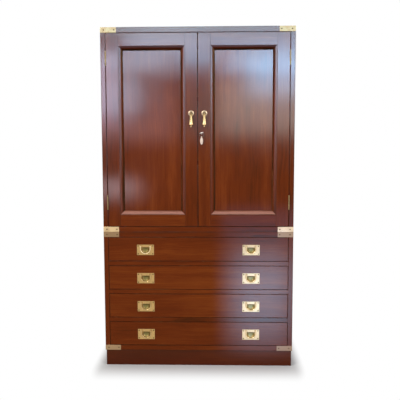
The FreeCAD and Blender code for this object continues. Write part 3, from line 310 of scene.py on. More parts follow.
def woodFinish(name, look):
    finish, tree, surface = blankFinish(
        name, Specular_IOR_Level=look["shine"], Specular_Tint=rgb(*look["shineTint"]),
    )
    figure = wire(tree, "ShaderNodeGroup", node_tree=woodFigure)
    for label in ("Dark", "Middle", "Light"):
        figure.inputs[label].default_value = rgb(*look[label.lower()])
    figure.inputs["Figure"].default_value = look["figure"]
    figure.inputs["Pores"].default_value = look["pores"]
    tree.links.new(painted(tree, "grainAt", "Vector"), figure.inputs["Grain place"])
    tree.links.new(painted(tree, "boardTone"), figure.inputs["Board tone"])
    wearAndShade = wire(tree, "ShaderNodeGroup", node_tree=edgeWearAndShade)
    for label in ("Rubbed", "Old wax and gap shade"):
        wearAndShade.inputs[label].default_value = rgb(*look[label.lower()])
    wearAndShade.inputs["Rub"].default_value = look["rub"]
    wearAndShade.inputs["Wax and shade"].default_value = look["wax_and_shade"]
    wearAndShade.inputs["Wax and shade width"].default_value = look["waxAndShadeWidth"]
    tree.links.new(figure.outputs["Colour"], wearAndShade.inputs["Colour"])
    tree.links.new(painted(tree, "arris"), wearAndShade.inputs["Arris"])
    tree.links.new(objectPlace(tree), wearAndShade.inputs["Board place"])
    tree.links.new(painted(tree, "boardMiddle", "Vector"), wearAndShade.inputs["Board middle"])
    tree.links.new(painted(tree, "boardHalf", "Vector"), wearAndShade.inputs["Board half"])
    tree.links.new(wearAndShade.outputs["Colour"], surface.inputs["Base Color"])
    evenBlur = look["blur"] - blurLook["smudge"] / 2
    blur = plus(tree, times(tree, figure.outputs["Smudge"], blurLook["smudge"]), evenBlur)
    blur = plus(tree, blur, times(tree, figure.outputs["Pore mask"], blurLook["pores"]))
    blur = plus(tree, blur, times(tree, wearAndShade.outputs["Wax and shade mask"], blurLook["wax_and_shade"]))
    tree.links.new(blur, surface.inputs["Roughness"])
    bump(tree, surface, figure.outputs["Height"], look["relief"], grainDepth)
    return finish


# the old wax and gap shade colour is a near-black laid along the arrises, partly real old wax and partly
# painted shade
polish = {
    "dark": (0.055, 0.0062, 0.0011), "middle": (0.126, 0.0150, 0.0020), "light": (0.205, 0.038, 0.0055),
    "rubbed": (0.30, 0.085, 0.026), "old wax and gap shade": (0.010, 0.0018, 0.0007), "figure": 0.4, "pores": 0.55,
    "rub": 0.5, "wax_and_shade": 0.5, "waxAndShadeWidth": 0.005,
    "shine": 0.25, "shineTint": (1.0, 0.6, 0.2), "blur": 0.10, "relief": 0.02,  # amber shellac
}
caseFinish = woodFinish("frenchPolishedMahogany", polish)
doorFinish = woodFinish("doorMahogany", {**polish, "rub": 0.3, "wax_and_shade": 0.5, "waxAndShadeWidth": 0.004})
panelFinish = woodFinish("figuredMahoganyPanel", {**polish, "figure": 0.6, "light": (0.208, 0.036, 0.0062)})
# painted shade: a near-black copy of the polish for the strips over a panel, which face down into shade
shadedTopMouldingFinish = woodFinish(
    "shadeDarkenedMoulding",
    {
        **polish, "dark": (0.010, 0.0018, 0.0006), "middle": (0.060, 0.0075, 0.0014),
        "light": (0.125, 0.018, 0.0030), "shine": 0.06, "blur": 0.3, "wax_and_shade": 0.0,
    },
)
cornerFinish = woodFinish(
    "mouldingMahogany",
    {**polish, "dark": (0.018, 0.0025, 0.0007), "shine": 0.25, "blur": 0.2, "wax_and_shade": 0.0},
)
# painted highlight and shadow: a pale copy of the polish for the strip under a panel, as if lit from above,
# with a dark line along its edges for the shade there
underStripLightAndShadeFinish = woodFinish(
    "paintedHighlightAndShadowMoulding",
    {
        **polish, "dark": (0.045, 0.012, 0.006), "middle": (0.20, 0.075, 0.048),
        "light": (0.42, 0.185, 0.13), "wax_and_shade": 0.95, "waxAndShadeWidth": 0.0045, "shine": 0.08, "blur": 0.4,
    },
)
topFinish = woodFinish(
    "dustyTopMahogany",
    {
        **polish, "dark": (0.066, 0.016, 0.007), "middle": (0.13, 0.026, 0.010),
        "light": (0.20, 0.050, 0.018), "shine": 0.0, "blur": 0.6, "relief": 0.1,
    },
)
sideFinish = woodFinish("sideMahogany", {**polish, "shine": 0.0, "blur": 0.35})
# painted shade: the plinth's wood is darker for the shade near the floor; the extra rub is real scuffing
kickedAndShaded = {
    **polish, "middle": (0.074, 0.0085, 0.0014), "light": (0.118, 0.018, 0.003), "rub": 0.8, "blur": 0.32,
}
plinthFinish = woodFinish("plinthMahogany", kickedAndShaded)
plinthEndFinish = woodFinish("plinthEndMahogany", {**kickedAndShaded, "shine": 0.0})
liningFinish = woodFinish(
    "waxedLining",
    {
        "dark": (0.20, 0.095, 0.036), "middle": (0.34, 0.185, 0.078), "light": (0.46, 0.28, 0.135),
        "rubbed": (0.52, 0.36, 0.19), "old wax and gap shade": (0.12, 0.055, 0.02), "figure": 0.35, "pores": 0.35,
        "rub": 0.5, "wax_and_shade": 0.4, "waxAndShadeWidth": 0.012,
        "shine": 0.35, "shineTint": (1.0, 0.9, 0.8), "blur": 0.5, "relief": 0.2,
    },
)


def metalFinish(name, look):
    finish, tree, surface = blankFinish(name, Metallic=1.0)
    age = wire(tree, "ShaderNodeGroup", node_tree=metalAge)
    age.inputs["Bright"].default_value = rgb(*look["bright"])
    age.inputs["Dull"].default_value = rgb(*look["dull"])
    age.inputs["Tarnish"].default_value = look["tarnish"]
    tree.links.new(objectPlace(tree), age.inputs["Place"])
    if "sunk" in look:
        tree.links.new(look["sunk"](tree), age.inputs["Sunk"])
    tree.links.new(age.outputs["Colour"], surface.inputs["Base Color"])
    tree.links.new(age.outputs["Roughness"], surface.inputs["Roughness"])
    bump(tree, surface, age.outputs["Height"], ageLook["relief"], ageLook["reliefDepth"])
    return finish


def inCup(tree):
    return painted(tree, "cupDepth")


def strapAge(tree):
    return painted(tree, "age")


roseLook = {"clearFrom": 0.010, "dullTo": 0.004}  # metres from the pin of a rose, for the painted shade about it


def shadeAroundPivot(tree):  # painted shade about the pin where the drop hangs; both roses are as far from the middle
    lo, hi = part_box("right_pull_rose")
    off = vectorCalc(tree, "SUBTRACT", vectorCalc(tree, "ABSOLUTE", objectPlace(tree)), (lo + hi) / 2)
    reach = vectorCalc(tree, "LENGTH", vectorCalc(tree, "MULTIPLY", off, (1, 0, 1)))
    return ramp(tree, reach, roseLook["clearFrom"], roseLook["dullTo"])


brass = {"bright": (0.72, 0.52, 0.26), "dull": (0.36, 0.22, 0.075), "tarnish": 0.35}
brassFinish = metalFinish("handledBrass", brass)
# painted highlight and shade: a bright copy of the bail brass for the lit bails, a darker one for the bails
# in shade
litBailFinish = metalFinish("paintedLitBailBrass", {**brass, "bright": (0.88, 0.69, 0.40), "tarnish": 0.2})
shadedBailFinish = metalFinish("paintedShadeBailBrass", {**brass, "bright": (0.60, 0.42, 0.19), "tarnish": 0.5})
# painted shade: the rose's dull colour is laid about its pin, where the drop hangs
roseFinish = metalFinish(
    "roseBrass",
    {"bright": (0.60, 0.43, 0.28), "dull": (0.13, 0.07, 0.035), "tarnish": 0.2, "sunk": shadeAroundPivot},
)
plateFinish = metalFinish(
    "pressedBrassPlate",
    {"bright": (0.55, 0.345, 0.13), "dull": (0.24, 0.19, 0.065), "tarnish": 0.2, "sunk": inCup},
)
strapFinish = metalFinish(
    "strapBrass",
    {**brass, "bright": (0.80, 0.57, 0.31), "dull": (0.25, 0.14, 0.07), "sunk": strapAge},
)
hingeFinish = metalFinish(
    "hingeBrass",
    {"bright": (0.40, 0.28, 0.13), "dull": (0.20, 0.125, 0.055), "tarnish": 0.7},
)
screwFinish = metalFinish(
    "screwBrass",
    {"bright": (0.12, 0.07, 0.03), "dull": (0.05, 0.03, 0.012), "tarnish": 0.8},
)
steelFinish = metalFinish(
    "handledSteel",
    {"bright": (0.80, 0.72, 0.66), "dull": (0.42, 0.34, 0.28), "tarnish": 0.3},
)
ringFinish = metalFinish(
    "darkRingSteel",
    {"bright": (0.20, 0.17, 0.15), "dull": (0.09, 0.07, 0.06), "tarnish": 0.6},
)

boneLook = {
    "lines": (700.0, 700.0, 45.0), "cloud": (70.0, 70.0, 40.0),  # repeats in a metre
    "pale": rgb(0.92, 0.74, 0.62), "warm": rgb(0.85, 0.60, 0.47), "vein": rgb(0.60, 0.40, 0.28),
    "cloudEdge": (0.35, 0.75), "veinEdge": (0.55, 0.8), "veinShare": 0.4,
    "shine": 0.4, "blur": 0.25, "lineBlur": 0.2, "relief": 0.1, "reliefDepth": 0.0002,
}


def makeBone():
    finish, tree, surface = blankFinish("turnedBone", Specular_IOR_Level=boneLook["shine"])
    lines = streaks(tree, objectPlace(tree), boneLook["lines"], 3.0, (3, 3, 3))
    cloud = streaks(tree, objectPlace(tree), boneLook["cloud"], 3.0, (1, 5, 2))
    warmth = ramp(tree, cloud, *boneLook["cloudEdge"])
    colour = blendColour(tree, warmth, boneLook["pale"], boneLook["warm"])
    vein = times(tree, ramp(tree, lines, *boneLook["veinEdge"]), boneLook["veinShare"])
    blur = plus(tree, times(tree, lines, boneLook["lineBlur"]), boneLook["blur"])
    tree.links.new(blendColour(tree, vein, colour, boneLook["vein"]), surface.inputs["Base Color"])
    tree.links.new(blur, surface.inputs["Roughness"])
    bump(tree, surface, lines, boneLook["relief"], boneLook["reliefDepth"])
    return finish


boneFinish = makeBone()
print("finishes ready")

polished = bpy.data.collections.new("polished")  # wood that the wide sheens shine on
brassware = bpy.data.collections.new("brassware")  # metal that the faint ones do


def settle(name, mesh, body, replaced, shownTo):
    piece = bpy.data.objects.new(name, mesh)
    scene.collection.objects.link(piece)
    if shownTo:
        shownTo.objects.link(piece)
    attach(piece, body)
    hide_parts(*replaced)


# copies of CAD solids with eased arrises, and wood with each board's own grain
arrisLook = {
    "segments": 2, "profile": 0.5, "sharp": 0.6,  # radians between the faces of an edge to ease
    "sameLine": 1e-6, "atSide": 1e-5, "sameCorner": 1e-5,  # metres
    "slant": (0.6, 0.8), "chamfer": 0.0015,  # the CAD's own narrow chamfers are known by these
    "smoothUnder": 0.5,  # radians
}


def closedShells(mesh):
    spots = [tuple(round(c / arrisLook["sameCorner"]) for c in v.co) for v in mesh.vertices]
    shells, faces, loose = [], [], set()
    for face in mesh.polygons:
        corners = [spots[i] for i in face.vertices]
        if len(set(corners)) < 3:
            continue
        faces.append([(spots[i], mesh.vertices[i].co) for i in face.vertices])
        for pair in zip(corners, corners[1:] + corners[:1]):
            if pair[::-1] in loose:
                loose.discard(pair[::-1])
            else:
                loose.add(pair)
        if not loose:
            shells.append(faces)
            faces = []
    return shells + ([faces] if faces else [])


def shellMesh(faces):
    work, made = bmesh.new(), {}
    for corners in faces:
        for key, spot in corners:
            if key not in made:
                made[key] = work.verts.new(spot)
        try:
            work.faces.new([made[key] for key, _ in corners])
        except ValueError:  # the same triangle twice
            pass
    work.normal_update()
    return work


def extent(points):
    points = list(points)
    lo = Vector(min(p[i] for p in points) for i in range(3))
    hi = Vector(max(p[i] for p in points) for i in range(3))
    return lo, hi


def easeArrises(work, lo, hi, size):
    def atSide(vert, i):
        return min(abs(vert.co[i] - lo[i]), abs(vert.co[i] - hi[i])) < arrisLook["atSide"]

    rims = []
    for edge in work.edges:
        a, b = edge.verts
        along = max(range(3), key=lambda i: abs(a.co[i] - b.co[i]))
        across = [i for i in range(3) if i != along]
        straight = all(abs(a.co[i] - b.co[i]) < arrisLook["sameLine"] and atSide(a, i) for i in across)
        if straight and edge.is_manifold and edge.calc_face_angle(0.0) > arrisLook["sharp"]:
            rims.append(edge)
    if not rims:
        return []
    made = bmesh.ops.bevel(
        work, geom=rims, offset=size, offset_type="OFFSET", segments=arrisLook["segments"],
        profile=arrisLook["profile"], affect="EDGES", clamp_overlap=True,
    )
    return made["faces"]


def isChamfer(face):
    low, high = arrisLook["slant"]
    slanted = sum(low < abs(c) < high for c in face.normal) == 2
    longest = max(edge.calc_length() for edge in face.edges)
    return slanted and face.calc_area() < arrisLook["chamfer"] * longest


def shade(work, eased):
    for face in work.faces:
        face.smooth = True
    for edge in work.edges:
        rounded = [face in eased for face in edge.link_faces]
        if len(rounded) == 2 and not all(rounded):
            edge.smooth = not any(rounded) and edge.calc_face_angle(0.0) < arrisLook["smoothUnder"]


cutLook = {
    "flatWithin": 0.01,  # radians between the triangles of one face
    "slit": 1e-6,  # metres, edges shorter than this are closed up
    "squareOn": 0.9,  # share of a face's normal that lies along an axis
    "log": 40.0,  # metres of figure that a board may come from, each way
}
boardDraw = random.Random(11)  # where in the log each board was cut


def easedShell(faces, look):
    work = shellMesh(faces)
    bmesh.ops.dissolve_limit(work, angle_limit=cutLook["flatWithin"], verts=work.verts, edges=work.edges)
    if look.get("pierced"):  # so that no face folds over a mortise
        bmesh.ops.connect_verts_concave(work, faces=work.faces)
    lo, hi = extent(v.co for v in work.verts)
    arris = work.faces.layers.float.new("arris")
    rounds = easeArrises(work, lo, hi, look["arris"])
    bmesh.ops.dissolve_degenerate(work, dist=cutLook["slit"], edges=work.edges)
    work.normal_update()
    eased = {face for face in rounds if face.is_valid}
    eased |= {face for face in work.faces if isChamfer(face)}
    for face in eased:
        face[arris] = 1.0
    shade(work, eased)
    return work, lo, hi


def paintShell(work, lo, hi, look):
    kind, age, fore, rear = look["choose"](lo, hi) if "choose" in look else (0, 0.0, 0.0, 0.0)
    for face in work.faces:
        face.material_index = kind
        for n, (axis, _) in enumerate(look.get("dulled", ())):
            if abs(face.normal[axis]) > cutLook["squareOn"]:
                face.material_index = len(look["finish"]) + n
    size = hi - lo
    order = sorted(range(3), key=lambda i: -size[i])
    if "grain" in look:
        order.sort(key=lambda i: i != look["grain"])
    shift = Vector(boardDraw.uniform(-cutLook["log"], cutLook["log"]) for _ in range(3))
    tone = look.get("tone", boardDraw.uniform(-1, 1))
    toneLayer, ageLayer = (work.verts.layers.float.new(n) for n in ("boardTone", "age"))
    kinds = ("grainAt", "boardMiddle", "boardHalf")
    place, middle, half = (work.verts.layers.float_vector.new(n) for n in kinds)
    for vert in work.verts:
        vert[place] = Vector(vert.co[i] for i in order) + shift
        vert[middle] = (lo + hi) / 2
        vert[half] = size / 2
        vert[ageLayer] = age
        vert[toneLayer] = tone + fore + (rear - fore) * (vert.co.y - lo.y) / size.y


def dressSolids(node, look):
    whole = bmesh.new()
    for faces in closedShells(cad[node].data):
        work, lo, hi = easedShell(faces, look)
        paintShell(work, lo, hi, look)
        part = bpy.data.meshes.new("part")
        work.to_mesh(part)
        whole.from_mesh(part)
        work.free()
        bpy.data.meshes.remove(part)
    mesh = bpy.data.meshes.new(node + "_dressed")
    whole.to_mesh(mesh)
    whole.free()
    for finish in look["finish"] + [finish for _, finish in look.get("dulled", ())]:
        mesh.materials.append(finish)
    settle(node + "_dressed", mesh, bodyOf[node], [node], look.get("shownTo", polished))


# grain is the axis it runs along; dulled gives axes whose faces have no shine, with the finish there
def caseBoard(finish=caseFinish, **more):
    return {"finish": [finish], "slot": "mahogany", "arris": 0.0012, **more}


def liningBoard(**more):
    return {"finish": [liningFinish], "slot": "lining_timber", "arris": 0.0008, "shownTo": None, **more}


mouldingLook = {
    "middleHeight": 1.2,  # metres, level strips above this are over a panel
    # which finish, its age, and the tone added at the front and at the back
    # painted shade in these tones: each strip darkens towards the panel, deep in its recess; the strip
    # under a panel is lighter at its front as a painted highlight
    "over": (0, 0.0, 0.0, -8.0),
    "under": (1, 0.0, 5.0, -4.0),
    "upright": (2, 0.0, 0.0, -5.0),
}


def mouldingKind(lo, hi):  # painted shade darkens each strip towards the panel; the strip under a panel has a painted highlight at its front and a painted shadow line along its edges
    if hi.x - lo.x <= hi.z - lo.z:
        return mouldingLook["upright"]
    return mouldingLook["over" if lo.z > mouldingLook["middleHeight"] else "under"]


strapAges = [
    # metres that the strap's middle is above, age on the left, age on the right
    (1.7, 0.0, 0.0),
    (0.732, 0.04, 0.04),
    (0.6, 0.85, 0.85),
    (0.0, 0.7, 0.9),
]


def strapKind(lo, hi):  # straps lower down are duller
    level = (lo.z + hi.z) / 2
    left, right = next(ages for height, *ages in strapAges if level > height)
    return 0, left if hi.x < 0 else right, 0.0, 0.0


boards = {
    "plinth_frame": caseBoard(plinthFinish, dulled=[(0, plinthEndFinish)]),
    "drawer_rails": caseBoard(grain=0, arris=0.0010),
    "shelves": caseBoard(grain=0),
    "drawer_runners_and_stops": liningBoard(),
    "back_panels": liningBoard(grain=2),
}
for level in ("lower", "upper"):
    for name, grain in (("left_side", 2), ("right_side", 2), ("bottom", 0), ("top", 0)):
        boards[f"{level}_case_{name}"] = caseBoard(grain=grain, dulled=[(0, sideFinish)])
boards["upper_case_top"]["dulled"].append((2, topFinish))
for side in sides:
    boards[f"{side}_door_frame"] = caseBoard(doorFinish, arris=0.0010, pierced=side == "left")
    boards[f"{side}_door_panel"] = caseBoard(panelFinish, grain=2)
    boards[f"{side}_door_moulding"] = caseBoard(
        shadedTopMouldingFinish, arris=0.0005, choose=mouldingKind, tone=0.0,
    )
    boards[f"{side}_door_moulding"]["finish"] += [underStripLightAndShadeFinish, cornerFinish]
for n, tone in zip(drawers, (1.2, 2.2, 1.4, 1.0)):
    boards[f"drawer_{n}_front"] = caseBoard(grain=0, arris=0.0010, tone=tone)
    boards[f"drawer_{n}_box"] = liningBoard()
for node, look in boards.items():
    dressSolids(node, look)
print("boards planed:", len(boards))

straps = {
    "finish": [strapFinish], "slot": "brass", "arris": 0.0004, "choose": strapKind, "shownTo": brassware,
}
dressSolids("corner_brasses", straps)
print("corner straps filed")


# one slotted screw set on every screw's place
screwLook = {
    "Head radius": 0.0032, "Shank radius": 0.0014, "Length": 0.012, "Slot width": 0.0009,
    "Slot depth": 0.0007, "Dome": 0.00025, "Dome taper": 0.9, "Tip taper": 0.4,
    "Sides": 28, "Seed": 5, "Metal": screwFinish,
}
screwSearch = {"lengthSlack": 0.0006, "widest": 0.008, "ring": 0.0004}  # the CAD's plain screws, metres


def makeScrewTree():
    tree = bpy.data.node_groups.new("slottedScrews", "GeometryNodeTree")
    face, ids = tree.interface, {}
    face.new_socket("Places", in_out="INPUT", socket_type="NodeSocketGeometry")
    kinds = {"Sides": "NodeSocketInt", "Seed": "NodeSocketInt", "Metal": "NodeSocketMaterial"}
    for label in screwLook:
        made = face.new_socket(label, in_out="INPUT", socket_type=kinds.get(label, "NodeSocketFloat"))
        ids[label] = made.identifier
    face.new_socket("Screws", in_out="OUTPUT", socket_type="NodeSocketGeometry")
    given = tree.nodes.new("NodeGroupInput").outputs

    def lifted(mesh, height):
        offset = wire(tree, "ShaderNodeCombineXYZ", {"Z": height}).outputs[0]
        return wire(tree, "GeometryNodeTransform", {"Geometry": mesh, "Translation": offset}).outputs[0]

    def cone(bottom, top, depth, height):
        sockets = {"Vertices": given["Sides"], "Radius Top": top, "Radius Bottom": bottom, "Depth": depth}
        return lifted(wire(tree, "GeometryNodeMeshCone", sockets).outputs["Mesh"], height)

    head, shank = given["Head radius"], given["Shank radius"]
    neck = minus(tree, head, shank)
    stem = minus(tree, given["Length"], neck)
    tip = times(tree, shank, given["Tip taper"])
    whole = wire(tree, "GeometryNodeMeshBoolean", operation="UNION", solver="EXACT")
    for solid in (
        cone(shank, head, neck, times(tree, neck, -1.0)),
        cone(head, times(tree, head, given["Dome taper"]), given["Dome"], 0.0),
        cone(tip, shank, stem, times(tree, given["Length"], -1.0)),
    ):
        tree.links.new(solid, whole.inputs["Mesh 2"])
    barSize = {
        "X": times(tree, head, 3.0),  # well past the rim of the head
        "Y": given["Slot width"],
        "Z": times(tree, given["Slot depth"], 2.0),  # half of it is above the dome
    }
    bar = wire(tree, "ShaderNodeCombineXYZ", barSize)
    bar = wire(tree, "GeometryNodeMeshCube", {"Size": bar.outputs[0]}).outputs["Mesh"]
    slotted = wire(
        tree, "GeometryNodeMeshBoolean", {"Mesh 1": whole.outputs["Mesh"]},
        operation="DIFFERENCE", solver="EXACT",
    )
    tree.links.new(lifted(bar, given["Dome"]), slotted.inputs["Mesh 2"])
    facing = wire(tree, "GeometryNodeInputNamedAttribute", {"Name": "facing"}, data_type="FLOAT_VECTOR")
    facing = facing.outputs["Attribute"]
    aimed = wire(tree, "FunctionNodeAlignRotationToVector", {"Vector": facing}, axis="Z")
    spin = wire(tree, "FunctionNodeRandomValue", {"Seed": given["Seed"]}, data_type="FLOAT")
    spin.inputs[3].default_value = math.pi  # the most that a slot is turned
    twist = wire(tree, "FunctionNodeAxisAngleToRotation", {"Angle": spin.outputs[1]})
    turned = wire(
        tree, "FunctionNodeRotateRotation",
        {"Rotation": aimed.outputs[0], "Rotate By": twist.outputs[0]}, rotation_space="LOCAL",
    )
    places = wire(tree, "GeometryNodeMeshToPoints", {"Mesh": given["Places"]})
    copies = wire(
        tree, "GeometryNodeInstanceOnPoints",
        {"Points": places.outputs[0], "Instance": slotted.outputs["Mesh"], "Rotation": turned.outputs[0]},
    )
    real = wire(tree, "GeometryNodeRealizeInstances", {"Geometry": copies.outputs[0]})
    metal = wire(tree, "GeometryNodeSetMaterial", {"Geometry": real.outputs[0], "Material": given["Metal"]})
    tree.links.new(metal.outputs[0], tree.nodes.new("NodeGroupOutput").inputs["Screws"])
    return tree, ids


screwTree, screwIds = makeScrewTree()


def islandsOf(work):
    left, islands = set(work.verts), []
    while left:
        island, edge = [], [left.pop()]
        while edge:
            vert = edge.pop()
            island.append(vert)
            near = {link.other_vert(vert) for link in vert.link_edges} & left
            left -= near
            edge += near
        islands.append(island)
    return islands


def mergedCopy(node, closeBy=3e-5):  # metres
    work = bmesh.new()
    work.from_mesh(cad[node].data)
    bmesh.ops.remove_doubles(work, verts=work.verts, dist=closeBy)
    return work


def breadthAt(points, axis, middle, level):
    ring = [p for p in points if abs(p[axis] - level) < screwSearch["ring"]]
    return max(abs(p[i] - middle[i]) for p in ring for i in range(3) if i != axis)


def screwPlaces(node):
    places, work = [], mergedCopy(node)
    for island in islandsOf(work):
        points = [v.co for v in island]
        lo, hi = extent(points)
        size = hi - lo
        slack = abs(max(size) - screwLook["Length"])
        if slack > screwSearch["lengthSlack"] or sorted(size)[1] > screwSearch["widest"]:
            continue  # not a screw
        axis = max(range(3), key=lambda i: size[i])
        middle = (lo + hi) / 2
        low, high = (breadthAt(points, axis, middle, end[axis]) for end in (lo, hi))
        sign = 1 if high > low else -1  # the head is the broad end
        spot, facing = middle.copy(), Vector((0, 0, 0))
        spot[axis] = hi[axis] if sign > 0 else lo[axis]
        facing[axis] = sign
        places.append((spot, facing))
    work.free()
    return sorted(places, key=lambda p: tuple(p[0]))


def setScrews(name, node):
    places = screwPlaces(node)
    mesh = bpy.data.meshes.new(name)
    mesh.from_pydata([p[0] for p in places], [], [])
    facing = mesh.attributes.new("facing", "FLOAT_VECTOR", "POINT")
    facing.data.foreach_set("vector", [c for p in places for c in p[1]])
    holder = bpy.data.objects.new(name + "_places", mesh)
    scene.collection.objects.link(holder)
    layer = holder.modifiers.new("screws", "NODES")
    layer.node_group = screwTree
    for label, value in screwLook.items():
        layer[screwIds[label]] = value
    solid = bpy.data.meshes.new_from_object(holder.evaluated_get(bpy.context.evaluated_depsgraph_get()))
    bpy.data.objects.remove(holder)
    settle(name, solid, bodyOf[node], [node], None)
    return len(places)


screwCount = 0
for name in ("carcass", "left_door", "right_door"):
    screwCount += setScrews(f"{name}_slotted_screws", f"{name}_screws")


# the pressed plate with a dished cup
cupLook = {
    "halfWidth": 0.0208, "centreLift": 0.002, "topLift": 0.0138, "depth": 0.0108,
    "rings": 16, "spokes": 72, "roundness": 3.2, "floor": 0.0006,
    "dulling": 1.25,  # how soon the dish goes dull with its depth
    "dullFrom": 0.001, "dullOver": 0.004,  # metres behind the front, on the plate itself
    "leastPlate": 0.03,  # metres, a narrower solid in the node is a screw
}


def cupRim(angle, nearNought=1e-6):
    c, s = math.cos(angle), math.sin(angle)
    if s <= 0:
        return cupLook["halfWidth"]  # the round foot of the cup
    flat = (cupLook["topLift"] - cupLook["centreLift"]) / s
    return min(flat, cupLook["halfWidth"] / max(abs(c), nearNought))


def dishCup(work, centre, sunk):
    def cupVert(share, depth, angle):
        reach = cupRim(angle) * share
        across, up = reach * math.cos(angle), cupLook["centreLift"] + reach * math.sin(angle)
        vert = work.verts.new(centre + Vector((across, depth, up)))
        vert[sunk] = min(1.0, cupLook["dulling"] * depth / cupLook["depth"])
        return vert

    angles = [2 * math.pi * j / cupLook["spokes"] for j in range(cupLook["spokes"])]
    rows = []
    for k in range(cupLook["rings"] + 1):
        share = k / cupLook["rings"]
        depth = cupLook["depth"] * (1 - share ** cupLook["roundness"])
        rows.append([cupVert(share, depth, angle) for angle in (angles if k else angles[:1])])
    rows.append([cupVert(1.0, cupLook["depth"] + cupLook["floor"], angle) for angle in angles])
    for near, far in zip(rows, rows[1:]):
        for j in range(len(far)):
            a, b = far[j], far[(j + 1) % len(far)]
            inner = near if len(near) == 1 else (near[(j + 1) % len(near)], near[j])
            work.faces.new((a, b, *inner))
    work.faces.new(rows[-1][::-1])  # the flat back of the cup
    for row in rows[-2:]:
        for a, b in zip(row, row[1:] + row[:1]):
            work.edges.get((a, b)).smooth = False


def pressPlates(n):
    node, name = f"drawer_{n}_pull_plates", f"drawer_{n}_pressed_plates"
    work = mergedCopy(node)
    sunk = work.verts.layers.float.new("cupDepth")
    fixings = []
    for island in islandsOf(work):
        lo, hi = extent(v.co for v in island)
        if hi.x - lo.x < cupLook["leastPlate"]:
            fixings += island
        for vert in island:
            behind = vert.co.y - frontY - cupLook["dullFrom"]
            vert[sunk] = max(0.0, min(1.0, behind / cupLook["dullOver"]))
    bmesh.ops.delete(work, geom=fixings, context="VERTS")
    work.normal_update()
    shade(work, set())
    lo, hi = extent(v.co for v in work.verts)
    for side in sides:
        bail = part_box(f"drawer_{n}_{side}_bail")
        dishCup(work, Vector(((bail[0].x + bail[1].x) / 2, frontY, (lo.z + hi.z) / 2)), sunk)
    for face in work.faces:
        face.smooth = True
    mesh = bpy.data.meshes.new(name)
    work.to_mesh(mesh)
    work.free()
    mesh.materials.append(plateFinish)
    settle(name, mesh, bodyOf[node], [node], brassware)
    return setScrews(f"drawer_{n}_plate_slotted_screws", node)


for n in drawers:
    screwCount += pressPlates(n)
print("screws set:", screwCount)


# metal and bone nodes that keep their own shape
def dress(finish, *names):
    for name in names:
        for slot in cad[name].material_slots:
            slot.material = finish
        if "bail" not in name:  # a bail's round bar would mirror the sheens as a white line
            brassware.objects.link(cad[name])


dress(hingeFinish, "hinge_case_leaves", "hinge_pins", "left_door_hinge_leaves", "right_door_hinge_leaves")
dress(
    brassFinish, "left_pull_drop", "right_pull_drop", "lock_strike", "lock_case", "lock_bolt",
    "slide_bolt_plates", "top_slide_bolt", "bottom_slide_bolt",
)
dress(roseFinish, "left_pull_rose", "right_pull_rose")
dress(litBailFinish, "drawer_1_left_bail", *[f"drawer_{n}_right_bail" for n in drawers])
dress(shadedBailFinish, *[f"drawer_{n}_left_bail" for n in drawers[1:]])  # painted shade: a darker copy of the bail brass
dress(steelFinish, "key")
dress(ringFinish, "key_ring")
dress(boneFinish, "key_fob")
print("metal dressed")

studio = {
    "floorColour": rgb(0.64, 0.64, 0.64), "floorReach": 60.0, "floorFade": (0.075, 0.23), "worldFill": 0.5,
    "lampAim": (0, 0, 0.9), "nearCard": 1.0, "cardSpread": 62,  # metres and degrees
    "camera": (0.092, -3.230, 1.178), "yaw": -1.56, "pitch": 5.26, "roll": -0.16,
    "lens": 51.07, "sensor": 36.0,
}
lamps = [
    # name, place, width and height, watts, colour
    ("key", (-3.4, -3.3, 4.0), (2.2, 2.2), 135, (1.0, 0.97, 0.93)),
    ("fill", (3.4, -3.3, 3.2), (2.2, 2.2), 70, (0.97, 0.98, 1.0)),
    ("back", (0.0, 4.5, 3.6), (3.0, 2.0), 90, (1.0, 1.0, 1.0)),
]
sheens = [
    # what a polished front mirrors: name, left, right, bottom, top, distance before the front,
    # soft edge (or one across and one up), radiance, what it shines on
    ("skyTop", -3.0, 2.4, 3.68, 4.4, 10.0, 0.15, (9, 28, 100), polished),
    ("skyRail", -2.05, 2.4, 3.34, 3.78, 10.0, 0.1, (11.5, 29, 122), polished),
    ("railLeft", -1.75, -0.25, 3.34, 3.85, 9.95, 0.1, (4.5, 8, 28), polished),
    ("skyMiddle", -0.95, 0.35, 2.95, 3.78, 10.0, 0.2, (8, 27, 118), polished),
    ("skyLeft", -3.2, 0.2, 2.8, 3.5, 10.0, 0.2, (11, 26, 104), polished),
    ("cloudLeft", -3.4, -1.4, 1.75, 2.95, 10.0, 0.35, (9, 20, 80), polished),
    ("edgeLeft", -3.4, -1.9, 2.0, 3.1, 10.0, 0.25, (16, 33, 127), polished),
    ("stileLeft", -2.75, -2.05, 1.5, 3.35, 9.95, (0.08, 0.25), (7, 8.5, 36), polished),
    ("roomLeft", -3.4, -0.6, 1.1, 2.8, 10.0, 0.5, (4.8, 5.2, 17), polished),
    ("meeting", -0.65, 0.0, 1.25, 2.55, 9.95, (0.1, 0.3), (0.01, 3.0, 11.5), polished),
    ("skyRight", 0.0, 2.5, 2.75, 3.5, 10.0, 0.2, (11, 32.5, 141), polished),
    ("window", 0.7, 2.5, 2.2, 3.45, 9.9, 0.3, (8, 23, 106), polished),
    ("roomRight", -0.1, 2.5, 1.25, 2.9, 10.0, 0.45, (8.5, 14, 39), polished),
    ("lowLeft", -1.45, -0.6, 0.54, 0.93, 3.2, (0.3, 0.18), (8.5, 12.5, 42), polished),
    ("lowRight", 0.1, 1.1, 0.15, 0.6, 3.0, 0.15, (0.2, 1.6, 9), polished),
    ("card", 0.065, 0.655, -0.16, 0.77, 0.2, (0.25, 0.42), (0.85, 2.55, 11), polished),
    ("skyBrass", -2.9, 2.7, 2.75, 4.8, 10.0, 0.2, (0.01, 0.75, 1.4), brassware),
    ("cardBrass", 0.065, 0.655, -0.16, 0.85, 0.2, (0.25, 0.42), (1.12, 1.95, 5.0), brassware),
]


def lookedAt(tree):
    seen = wire(tree, "ShaderNodeLightPath").outputs
    plain = larger(tree, seen["Is Camera Ray"], seen["Is Glossy Ray"])
    return larger(tree, plain, seen["Is Transmission Ray"])


